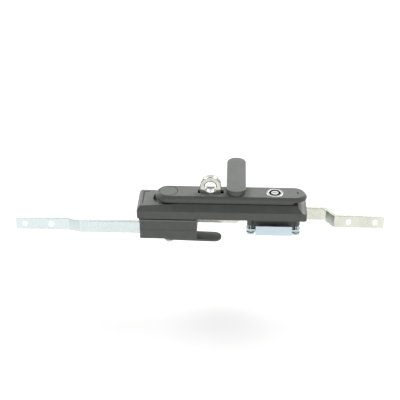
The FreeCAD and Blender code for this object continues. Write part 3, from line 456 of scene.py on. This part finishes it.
# %% Assign the finishes
FINISHES = [
    (powder_coat, ["base_plate"]),
    (handle_coat, ["handle"]),
    (lip_highlight_nylon, ["gearbox_housing"]),
    (moulded_nylon, ["gearbox_cover"]),
    (satin_plastic, ["hub_cap", "dust_cover"]),
    (phosphated_steel, ["cam_plate", "spindle_hub"]),
    (rubber, ["door_gasket", "spindle_seal"]),
    (zinc_blue, ["left_rod"]),
    (zinc_yellow, ["right_rod"]),
    (zinc_small, ["clamp_washers", "clamp_screws", "cam_washer", "cam_screw"]),
    (bracket_zinc, ["clamp_bracket"]),
    (dark_spring, ["clamp_spring_washers", "cam_spring_washer"]),
    (nickel, ["padlock_staple"]),
    (ring_nickel, ["cylinder_body"]),
    (key_nickel, ["cylinder_core"]),
    (bare_steel, ["gearbox_screws", "staple_screws", "pinion", "retaining_ring", "tilt_pin",
                  "cylinder_clip", "lock_cam", "cam_clip", "dust_cover_pin", "cover_washer"]),
    (bronze, ["hub_bush", "lower_bush"]),
]


def dress(obj, material):
    """Gives every face of an object one material."""
    obj.data.materials.clear()
    obj.data.materials.append(material)


for material, names in FINISHES:
    for name in names:
        dress(NODES[name], material)
missing = set(NODES) - {name for _, names in FINISHES for name in names}
print("dressed", len(NODES) - len(missing), "nodes; without a finish:", sorted(missing))

# %% [markdown]
# ## Small formed pieces
#
# The frame's solids are exact, but their edges are as sharp as a drawing. Real pressed, cast and turned
# pieces catch the light on small roundings, and that tells the eye their size. The pieces that the
# photograph shows from near are therefore worked out again as smooth surfaces: a grid of points is
# computed in one go with numpy, its neighbours are joined to faces, and points that fall together, as at
# a pole, are merged. Each new piece takes the place of the frame's plain one and rides on the same body,
# so it moves with it at every pose.

# %% From a grid of points to a closed piece
MERGE_WITHIN = 2e-7              # metres
SHARP_FROM = math.radians(38.0)  # edges that turn by more stay sharp


def grid_faces(rows, columns, wrap_rows=False):
    """Quads between neighbours of a grid. Rows close on themselves, with wrap_rows columns too."""
    r = np.arange(rows if wrap_rows else rows - 1)[:, None]
    c = np.arange(columns)
    beside, above = (c + 1) % columns, (r + 1) % rows
    quads = [r * columns + c, r * columns + beside, above * columns + beside, above * columns + c]
    return np.stack(np.broadcast_arrays(*quads), axis=-1).reshape(-1, 4)


def new_piece(name, shells, body, material, stands_for):
    """Joins shells to one closed mesh that rides on a body and replaces a node. A shell is its points
    in mm, its quads and, where it isn't closed by these, the numbers of the points round each end."""
    mesh = bpy.data.meshes.new(name)
    start, points, faces = 0, [], []
    for shell_points, quads, *ends in shells:
        points.append(shell_points.reshape(-1, 3))
        faces += (start + quads).tolist() + [(start + end).tolist() for end in ends]
        start += len(points[-1])
    mesh.from_pydata((np.concatenate(points) * MM).tolist(), [], faces)
    work = bmesh.new()
    work.from_mesh(mesh)
    bmesh.ops.remove_doubles(work, verts=work.verts, dist=MERGE_WITHIN)
    bmesh.ops.recalc_face_normals(work, faces=work.faces)
    work.to_mesh(mesh)
    open_edges = sum(not edge.is_manifold for edge in work.edges)
    work.free()
    mesh.shade_smooth()
    mesh.set_sharp_from_angle(angle=SHARP_FROM)
    piece = bpy.data.objects.new(name, mesh)
    bpy.context.scene.collection.objects.link(piece)
    dress(piece, material)
    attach(piece, body)
    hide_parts(stands_for)
    print(name, len(mesh.polygons), "faces, open edges:", open_edges)


print("edges sharper than", round(math.degrees(SHARP_FROM)), "degrees stay sharp")

# %% [markdown]
# Two helpers make most outlines. One draws a path through corners and rounds each by a given reach, as
# a file or a tumbling drum does. The other turns a path about an upright axis, as a lathe does.

# %% Rounded paths and turned surfaces
def softened(corners, closed=False, steps=5):
    """Path through corners (a, b, reach): each corner c turns into the curve
    (1-t)^2 p + 2t(1-t) c + t^2 q, where p and q lie reach away from it on its two legs.
    A reach of 0 keeps the corner."""
    corners = np.array(corners, float)
    place, reach = corners[:, :2], corners[:, 2]
    t = np.linspace(0, 1, steps)[:, None]
    path = []
    for i, c in enumerate(place):
        ends = not closed and i in (0, len(place) - 1)
        if reach[i] == 0 or ends:
            path.append(c[None])
            continue
        before, after = place[i - 1] - c, place[(i + 1) % len(place)] - c
        p = c + reach[i] * before / np.linalg.norm(before)
        q = c + reach[i] * after / np.linalg.norm(after)
        path.append((1 - t) ** 2 * p + 2 * t * (1 - t) * c + t ** 2 * q)
    return np.concatenate(path)


def turned(profile, x=0.0, sides=96, wrap_rows=False):
    """Surface of revolution: a profile of (radius, height) turned about the upright axis at x, 0."""
    u = np.linspace(0, 2 * np.pi, sides, endpoint=False)
    radius, height = profile[:, :1], profile[:, 1:]
    points = np.stack([x + radius * np.cos(u), radius * np.sin(u), height + 0 * u], axis=-1)
    return points, grid_faces(len(profile), sides, wrap_rows)


def heights_mm(node):
    """Lowest and highest point of a node of the frame, in mm."""
    low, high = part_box(node)
    return low.z / MM, high.z / MM


print("the clamp's screws reach from", *(round(z, 2) for z in heights_mm("clamp_screws")), "mm")

# %% [markdown]
# ### Screws with a cross recess
#
# Pan-head screws hold the clamp and the cam. A pan head is a disc with a domed end, and a press forms the
# cross in it. The end is a polar grid: its height is the dome's, and where the cross lies it goes deeper.
# The cross is the larger of two slots, each with sloping walls, as a tapered punch leaves them. Small
# sizes are shares of the head's radius or height, so one function makes all the screws.

# %% A screw as rings round its axis
CROSS_DEPTH, CROSS_EXTRA = 0.42, 0.1    # depth of the cross: a share of the head's height, and mm more
CROSS_HALF, CROSS_REACH = 0.17, 0.45    # its half width and its reach, as shares of the head's radius
CROSS_SLOPE = 0.32                      # its walls rise over this many mm
FINE_TO, COARSE_FROM = 0.5, 0.53        # fine rings over the cross, then coarse ones, as such shares too
FINE_RINGS, COARSE_RINGS = 34, 12
HEAD_RIM = 0.93                         # share of the radius at which the end turns down to the rim
RIM_DROP, RIM_SOFT, FOOT_SOFT = 0.35, 0.3, 0.2    # fall of the rim; its rounding and the foot's
POINT = 0.6                             # chamfer on the shank's end


def cross_depth(x, y, depth, half_width, reach):
    """Depth of the cross at x, y: the larger of two slots whose walls rise to the face."""
    def slot_share(along, across):
        """1 on a slot's floor, 0 outside it: the product of a slope at its end and one at its side."""
        return (np.clip((reach - np.abs(along)) / CROSS_SLOPE, 0, 1)
                * np.clip((half_width - np.abs(across)) / CROSS_SLOPE, 0, 1))
    return depth * np.maximum(slot_share(x, y), slot_share(y, x))


def recessed_screw(x, z_face, way, dome, head, shank, sides=120):
    """Screw on the axis at x, 0. way is +1 where the shank lies above z_face and -1 below; head and
    shank are (radius, length). The end follows dome * (r / head radius)^2 and the cross sinks into
    it; the rim, the head's underside and the shank are a turned profile."""
    (head_radius, head_height), (shank_radius, shank_length) = head, shank
    r = np.concatenate([np.linspace(0, FINE_TO, FINE_RINGS) * head_radius,
                        np.linspace(COARSE_FROM, HEAD_RIM, COARSE_RINGS) * head_radius])[:, None]
    u = np.linspace(0, 2 * np.pi, sides, endpoint=False)
    px, py = r * np.cos(u), r * np.sin(u)
    cross = cross_depth(px, py, CROSS_DEPTH * head_height + CROSS_EXTRA, CROSS_HALF * head_radius,
                        CROSS_REACH * head_radius)
    end = np.stack([x + px, py, z_face + way * (dome * (r / head_radius) ** 2 + cross)], -1)
    edge, length = dome * HEAD_RIM ** 2, head_height + shank_length
    side = softened([(HEAD_RIM * head_radius, edge, 0), (head_radius, edge + RIM_DROP, RIM_SOFT),
                     (head_radius, head_height, FOOT_SOFT), (shank_radius, head_height, 0),
                     (shank_radius, length - POINT, 0), (shank_radius - POINT, length, 0),
                     (0, length, 0)])
    side[:, 1] = z_face + way * side[:, 1]
    points = np.concatenate([end, turned(side[1:], x, sides=sides)[0]])
    return points, grid_faces(len(points), sides)


print("a cross has a half width of", CROSS_HALF, "of its head's radius")

# %% [markdown]
# The clamp's and the cam's screws hang head down, with their heads' ends at the lowest point of the
# frame's plain screws and the shanks' ends at the highest, so their length comes from the frame.

# %% Pan-head screws of the clamp and the cam
CLAMP_X, CLAMP_SPAN = 125.6, 27.0
CLAMP_PLACES = (CLAMP_X - CLAMP_SPAN, CLAMP_X + CLAMP_SPAN)


def hanging_screws(node, places, dome, head, shank_radius):
    """One screw at each place along the lock, as low and as high as the node that they stand for."""
    low, high = heights_mm(node)
    shank = (shank_radius, high - low - head[1])
    return [recessed_screw(x, low, 1, dome, head, shank) for x in places]


clamp_screws = hanging_screws("clamp_screws", CLAMP_PLACES, dome=2.6, head=(5.4, 5.2), shank_radius=2.5)
new_piece("clamp_pan_screws", clamp_screws, "door_side", zinc_small, "clamp_screws")
cam_screw = hanging_screws("cam_screw", (0.0,), dome=2.4, head=(5.2, 4.4), shank_radius=3.0)
new_piece("cam_pan_screw", cam_screw, "spindle", zinc_small, "cam_screw")

# %% [markdown]
# ### Split spring washers
#
# A spring washer is one turn of square wire, cut so that its ends bite. Its section, a rectangle with
# soft corners, is carried round the screw while it climbs a little, so the two ends stand apart at the
# cut. The ends are closed with one face each.

# %% Spring washers
SPRING_SOFT = 0.2                # rounding of the wire's corners
SPRING_GAP, SPRING_CLIMB = 1.2, 0.3    # width of the cut, and height between its two ends


def split_spring(x, low, thickness, inner, outer, steps=72):
    """Wire section carried round the axis at x, 0: its height grows by the climb over one turn."""
    section = softened([(inner, 0, SPRING_SOFT), (outer, 0, SPRING_SOFT), (outer, thickness, SPRING_SOFT),
                        (inner, thickness, SPRING_SOFT)], closed=True, steps=3)
    half_cut = SPRING_GAP / 2 / outer
    u = np.linspace(half_cut, 2 * np.pi - half_cut, steps)[:, None]
    radius, height = section[:, 0], section[:, 1]
    climbed = SPRING_CLIMB * (u - half_cut) / (2 * np.pi)
    points = np.stack([x + radius * np.cos(u), radius * np.sin(u),
                       low + height + climbed + 0 * radius], axis=-1)
    first = np.arange(len(section))
    return points, grid_faces(steps, len(section)), first[::-1], first + (steps - 1) * len(section)


def spring_washers(node, places, inner, outer):
    """One split washer at each place along the lock, between the node's lowest and highest point."""
    low, high = heights_mm(node)
    return [split_spring(x, low, high - low - SPRING_CLIMB, inner, outer) for x in places]


clamp_springs = spring_washers("clamp_spring_washers", CLAMP_PLACES, inner=2.6, outer=4.7)
new_piece("clamp_split_washers", clamp_springs, "door_side", dark_spring,
          "clamp_spring_washers")
cam_spring = spring_washers("cam_spring_washer", (0.0,), inner=3.1, outer=5.2)
new_piece("cam_split_washer", cam_spring, "spindle", dark_spring, "cam_spring_washer")

# %% [markdown]
# ### The padlock eye
#
# A padlock's shackle goes through this eye. It is a thick plate with a round head and a chamfered hole,
# cast and nickel plated, on a flat arm that runs under the handle. Its surface goes round the hole like a
# ring: at each direction from the hole's middle, the same section runs from the bore over one face to the
# outline and back over the other face. Only the distance to the outline changes.

# %% Outline of the padlock eye
EYE_X, EYE_Z = 49.9, 33.6        # middle of the hole, along the lock and in height
EYE_HALF, EYE_BORE = 12.6, 6.6   # radii of the head and of the hole
FOOT_CUT = 1.0                   # the outline's corners at the foot are cut off by this much
ARM_LOW, ARM_TOP, ARM_HALF = 18.9, 20.9, 6.0
ARM_START, ARM_END = 0.4, 116.3


def eye_outline(head_steps=72, side_steps=14):
    """Outline from the hole's middle: a half circle on top, then straight sides down to the foot."""
    foot = ARM_LOW - EYE_Z
    a = np.linspace(0, np.pi, head_steps)
    down = np.linspace(0, foot + FOOT_CUT, side_steps)
    across = np.linspace(-EYE_HALF + FOOT_CUT, EYE_HALF - FOOT_CUT, side_steps)
    head = np.stack([EYE_HALF * np.cos(a), EYE_HALF * np.sin(a)], 1)
    left = np.stack([np.full(side_steps, -EYE_HALF), down], 1)[1:]
    base = np.stack([across, np.full(side_steps, foot)], 1)
    right = np.stack([np.full(side_steps, EYE_HALF), down[::-1]], 1)[:-1]
    return np.concatenate([head, left, base, right])


print("the eye's outline has", len(eye_outline()), "points and stands", EYE_Z + EYE_HALF, "mm high")

# %% [markdown]
# On each side the section has half the bore's wall, a chamfer, the flat face, a bevel and half the
# outline's wall. What lies by the bore is measured from the bore and what lies by the outline from there,
# so chamfer and bevel keep their width all round, and only the flat face between them is stretched. The
# arm is a rectangle with soft corners, carried straight along.

# %% Padlock eye on its arm
EYE_FACE = 3.8                   # half the plate's thickness
CHAMFER, CHAMFER_DEPTH = 1.2, 0.6
BEVEL = 0.8                      # flat bevel round the outline
BAND = 3.0                       # points of the flat face lie this far from bore and outline
BORE_SOFT, CHAMFER_SOFT, BEVEL_SOFT, ARM_SOFT = 0.1, 0.15, 0.12, 0.35


def eye_shell():
    """Point = hole's middle + direction * s, at depth y. s runs from the bore or from the outline."""
    outline = eye_outline()
    far = np.linalg.norm(outline, axis=1)[:, None]
    direction = outline / far
    out_from_bore = softened([(0, 0, 0), (0, EYE_FACE - CHAMFER_DEPTH, BORE_SOFT),
                              (CHAMFER, EYE_FACE, CHAMFER_SOFT), (BAND, EYE_FACE, 0)], steps=3)[:-1]
    outer = softened([(-BAND, EYE_FACE, 0), (-BEVEL, EYE_FACE, BEVEL_SOFT),
                      (0, EYE_FACE - BEVEL, BEVEL_SOFT), (0, 0, 0)], steps=3)
    round_outline = np.concatenate([outer[1:], outer[1:-1][::-1] * (1, -1)])
    into_bore = out_from_bore[1:][::-1] * (1, -1)
    s = np.concatenate([EYE_BORE + out_from_bore[:, 0] + 0 * far, far + round_outline[:, 0],
                        EYE_BORE + into_bore[:, 0] + 0 * far], axis=1)
    y = np.concatenate([out_from_bore[:, 1], round_outline[:, 1], into_bore[:, 1]])
    points = np.stack([EYE_X + direction[:, :1] * s, y + 0 * s, EYE_Z + direction[:, 1:] * s], axis=-1)
    return points, grid_faces(len(outline), len(y), wrap_rows=True)


def strip_shell(x0, x1, half_width, z0, z1, steps=12):
    """Flat bar: a rectangle with soft corners, carried from x0 to x1, with one face on each end."""
    section = softened([(-half_width, z0, ARM_SOFT), (half_width, z0, ARM_SOFT),
                        (half_width, z1, ARM_SOFT), (-half_width, z1, ARM_SOFT)], closed=True, steps=4)
    x = np.linspace(x0, x1, steps)[:, None]
    points = np.stack([x + 0 * section[:, 0], section[:, 0] + 0 * x, section[:, 1] + 0 * x], axis=-1)
    first = np.arange(len(section))
    return points, grid_faces(steps, len(section)), first, first + (steps - 1) * len(section)


new_piece("padlock_eye", [eye_shell(), strip_shell(ARM_START, ARM_END, ARM_HALF, ARM_LOW, ARM_TOP)],
          "spindle", nickel, "padlock_staple")

# %% [markdown]
# Two small screws hold the arm on the hub. They stand head up on the arm, so the same function makes
# them with the shank below, and with fewer sides, since the handle covers them until it tips.

# %% Screws in the padlock arm
ARM_SCREW_PLACES = (5.0, 10.0)
HEAD_STANDS = 0.55               # the heads stand this far above the arm
arm_screws = [recessed_screw(x, ARM_TOP + HEAD_STANDS, way=-1, dome=0.45, head=(2.8, 0.9),
                             shank=(1.5, 7.0), sides=72) for x in ARM_SCREW_PLACES]
new_piece("arm_screws", arm_screws, "spindle", bare_steel, "staple_screws")

# %% [markdown]
# ### Cap and key cylinder
#
# The cap is moulded and closes the hole over the hub; it lies level with the handle's top, and the fine
# ring round it is a real gap. The key cylinder's ring is turned with a soft edge. Both are profiles of
# radius and height that are turned about an upright axis, as the lathe or the mould maker would.

# %% Cap and cylinder ring
CAP_RADIUS, CAP_DEPTH = 10.6, 1.2
CAP_SLOPE, CAP_DIP = 0.7, 0.06   # the rim falls by the dip over the slope's width
cap_profile = softened([(0, HANDLE_TOP - CAP_DEPTH, 0), (CAP_RADIUS, HANDLE_TOP - CAP_DEPTH, 0.1),
                        (CAP_RADIUS, HANDLE_TOP - CAP_DIP, 0.35),
                        (CAP_RADIUS - CAP_SLOPE, HANDLE_TOP, 0.3), (0, HANDLE_TOP, 0)])
new_piece("hub_cover_cap", [turned(cap_profile, sides=128)],
          "lever", satin_plastic, "hub_cap")

RING_RADIUS, RING_LOW, RING_BORE, SHOULDER = 9.85, 24.7, 7.0, 22.25
BARREL_RADIUS, BARREL_LOW, BARREL_BORE = 8.9, 18.9, 5.45
BORE_DIP, RING_DIP = 0.05, 0.02  # inside and outside, its face lies this far under the handle's top
ring_profile = softened([(RING_BORE, SHOULDER, 0), (RING_BORE, HANDLE_TOP - BORE_DIP, 0.3),
                         (RING_RADIUS, HANDLE_TOP - RING_DIP, 0.45), (RING_RADIUS, RING_LOW, 0.05),
                         (BARREL_RADIUS, RING_LOW, 0), (BARREL_RADIUS, BARREL_LOW, 0.3),
                         (BARREL_BORE, BARREL_LOW, 0), (BARREL_BORE, SHOULDER, 0)], closed=True)
new_piece("key_cylinder_housing", [turned(ring_profile, KEY_X, sides=128, wrap_rows=True)],
          "lever", ring_nickel, "cylinder_body")

# %% [markdown]
# ### Dust cover
#
# The dust cover is a shallow hollow cup, round at both ends: its outline is every point at one distance
# from a straight line, so rows of points at falling distances cover its hollow underside, its side and
# its crowned top, which falls with the square of the distance. A turned boss under the cup takes the pin.

# %% Dust cover
COVER_X, COVER_LENGTH, COVER_HALF = 80.2, 63.1, 11.7
COVER_LOW, COVER_TOP = 25.5, 32.0
CUP_HALF, CUP_TOP = 9.9, 30.0    # hollow underside
CROWN_HALF, CROWN_RISE, CROWN_ROWS = 10.4, 0.32, 9
DRAFT = 0.12                     # the side leans in by this much, so that it leaves its mould
EDGE_DROP = 0.3                  # and reaches up to this far under the top
BOSS_BORE, BOSS_RADIUS = 2.55, 5.0
BOSS_STEP, BOSS_TOP = 29.8, 30.3


def around_line(profile, x, y0, y1, side_steps=26, end_steps=40):
    """Rows at a distance from the line y0..y1: beside it on the straights, fanned round its ends."""
    a = np.linspace(0, np.pi, end_steps)
    run = np.linspace(0, 1, side_steps)[1:-1]
    angle = np.concatenate([a, np.full(len(run), np.pi), a + np.pi, np.zeros(len(run))])
    base = np.concatenate([np.full(end_steps, y1), y1 + (y0 - y1) * run, np.full(end_steps, y0),
                           y0 + (y1 - y0) * run])
    distance, height = profile[:, :1], profile[:, 1:]
    points = np.stack([x + distance * np.cos(angle), base + distance * np.sin(angle),
                       height + 0 * angle], -1)
    return points, grid_faces(len(profile), len(angle))


crown_r = np.linspace(CROWN_HALF, 0, CROWN_ROWS)[:, None]
crown = np.hstack([crown_r, COVER_TOP - CROWN_RISE * (crown_r / COVER_HALF) ** 2])
cup = softened([(0, CUP_TOP, 0), (CUP_HALF, CUP_TOP, 0.8), (CUP_HALF, COVER_LOW, 0.25),
                (COVER_HALF, COVER_LOW, 0.4), (COVER_HALF - DRAFT, COVER_TOP - EDGE_DROP, 1.25),
                (CROWN_HALF, crown[0, 1], 0)], steps=7)
cup = np.concatenate([cup, crown[1:]])
boss = softened([(BOSS_BORE, BOSS_STEP, 0), (BOSS_BORE, COVER_LOW, 0.2), (BOSS_RADIUS, COVER_LOW, 0.2),
                 (BOSS_RADIUS, BOSS_TOP, 0), (BOSS_BORE, BOSS_TOP, 0)], closed=True, steps=3)
new_piece("dust_cover_shell", [around_line(cup, COVER_X, 0, COVER_LENGTH),
                               turned(boss, COVER_X, sides=64, wrap_rows=True)],
          "flap", satin_plastic, "dust_cover")

# %% [markdown]
# ## The studio
#
# Product photographs of metal are lit by large white surfaces, so that a mirror-like part always has
# something pale to reflect. Here two square softboxes stand behind the lock, to its left and right, and a
# weak one fills from the front. Straight behind it there is only the white world: the flat nickel faces
# mirror that, so they stay white without glaring, while the black tops catch both boxes.

# %% Lamps
LAMPS = [
    # name, place in m, size in m, watts
    ("rear_left_softbox", (-0.93, 1.07, 1.00), 1.0, 22.5),
    ("rear_right_softbox", (0.93, 1.07, 1.00), 1.0, 21.0),
    ("front_fill", (0.10, -1.60, 0.05), 1.4, 4.2),
]
for name, lamp_place, size, watts in LAMPS:
    lamp_data = bpy.data.lights.new(name, "AREA")
    lamp_data.size, lamp_data.energy = size, watts
    lamp = bpy.data.objects.new(name, lamp_data)
    lamp.location = lamp_place
    lamp.rotation_euler = (AIM - Vector(lamp_place)).to_track_quat("-Z", "Y").to_euler()
    bpy.context.scene.collection.objects.link(lamp)
print("lamps:", [name for name, *_ in LAMPS])

# %% [markdown]
# The world is a white dome for mirrors and for glass, and weaker as a light. It is also dimmer overhead
# and at its sides, as under a dark ceiling between two dark panels: these make the thin dark reflections
# by which the eye knows a plated edge, and upright faces keep their contrast. The camera sees all of it
# white.

# %% World
WORLD_LIGHT = 0.38               # strength as a light; where it is seen it is 1, which is white
# A direction is 1 long. As its upright part goes from CEILING_FROM to CEILING_TO, the light sinks to the
# share CEILING of itself, and so with its part along the lock and SIDES.
CEILING, CEILING_FROM, CEILING_TO = 0.25, 0.70, 0.92
SIDES, SIDES_FROM, SIDES_TO = 0.4, 0.45, 0.75


def seen_directly(tree):
    """1 for rays from the camera, off a mirror or through glass, else 0."""
    rays = add(tree, "ShaderNodeLightPath").outputs
    two = add(tree, "ShaderNodeMath", {0: rays["Is Camera Ray"], 1: rays["Is Glossy Ray"]},
              operation="MAXIMUM").outputs[0]
    return add(tree, "ShaderNodeMath", {0: two, 1: rays["Is Transmission Ray"]},
               operation="MAXIMUM").outputs[0]


scene = bpy.context.scene
scene.view_settings.view_transform = "Standard"
world = bpy.data.worlds.new("pale_dome")
scene.world = world
world.use_nodes = True
sky = world.node_tree
sky.nodes.clear()
direction = add(sky, "ShaderNodeSeparateXYZ",
                {0: add(sky, "ShaderNodeTexCoord").outputs["Generated"]}).outputs
sideways = add(sky, "ShaderNodeMath", {0: direction["X"]}, operation="ABSOLUTE").outputs[0]
strength = add(sky, "ShaderNodeMapRange", {"Value": seen_directly(sky), "To Min": WORLD_LIGHT,
                                           "To Max": 1.0}).outputs["Result"]
for value, start, end, left in ((direction["Z"], CEILING_FROM, CEILING_TO, CEILING),
                                (sideways, SIDES_FROM, SIDES_TO, SIDES)):
    dim = add(sky, "ShaderNodeMapRange", {"Value": value, "From Min": start, "From Max": end,
                                          "To Min": 1.0, "To Max": left}).outputs["Result"]
    strength = add(sky, "ShaderNodeMath", {0: strength, 1: dim}, operation="MULTIPLY").outputs[0]
from_camera = add(sky, "ShaderNodeLightPath").outputs["Is Camera Ray"]
strength = add(sky, "ShaderNodeMath", {0: strength, 1: from_camera}, operation="MAXIMUM").outputs[0]
dome = add(sky, "ShaderNodeBackground", {"Color": linear("#FFFFFF"), "Strength": strength})
add(sky, "ShaderNodeOutputWorld", {"Surface": dome.outputs["Background"]})
print("world:", len(sky.nodes), "nodes")

# %% [markdown]
# The floor is a plain pale sheet some way under the lock. Where the camera, a mirror or glass looks at
# it, a little light of its own lifts it to white, and the lock's shadow stays on it. Its paint is matt,
# so that it throws light back up without a reflection of the lock.

# %% Floor
FLOOR_DROP, FLOOR_HALF = 60.0 * MM, 3.0    # metres under the lock, and half the sheet's width
FLOOR_LIFT = 0.60                # strength of the floor's own light where it is seen
SPECK_MM = 30.0                  # size of the faint clouds in its paint
MATT_ROUGHNESS, MATT_SPECULAR = 0.9, 0.1
floor_z = cad_low.z - FLOOR_DROP
floor_mesh = bpy.data.meshes.new("studio_floor")
corners = np.array([(-1, -1, 0), (1, -1, 0), (1, 1, 0), (-1, 1, 0)], float) * FLOOR_HALF
corners[:, 2] = floor_z
floor_mesh.from_pydata(corners.tolist(), [], [(0, 1, 2, 3)])
floor = bpy.data.objects.new("studio_floor", floor_mesh)
scene.collection.objects.link(floor)

floor_paint, tree, shader, place = new_material("pale_studio_floor")
speck = add(tree, "ShaderNodeTexNoise", {"Vector": place, "Scale": per_size(SPECK_MM),
                                         "Detail": 1.0}).outputs["Fac"]
paint = add(tree, "ShaderNodeMix", {"Factor": speck, "A": linear("#CECECD"), "B": linear("#D2D2D1")},
            data_type="RGBA").outputs["Result"]
tree.links.new(paint, shader.inputs["Base Color"])
shader.inputs["Roughness"].default_value = MATT_ROUGHNESS
shader.inputs["Specular IOR Level"].default_value = MATT_SPECULAR
shader.inputs["Emission Color"].default_value = linear("#FFFFFF")
lift = add(tree, "ShaderNodeMath", {0: seen_directly(tree), 1: FLOOR_LIFT}, operation="MULTIPLY")
tree.links.new(lift.outputs[0], shader.inputs["Emission Strength"])
dress(floor, floor_paint)
print("floor at z", round(floor_z, 4))
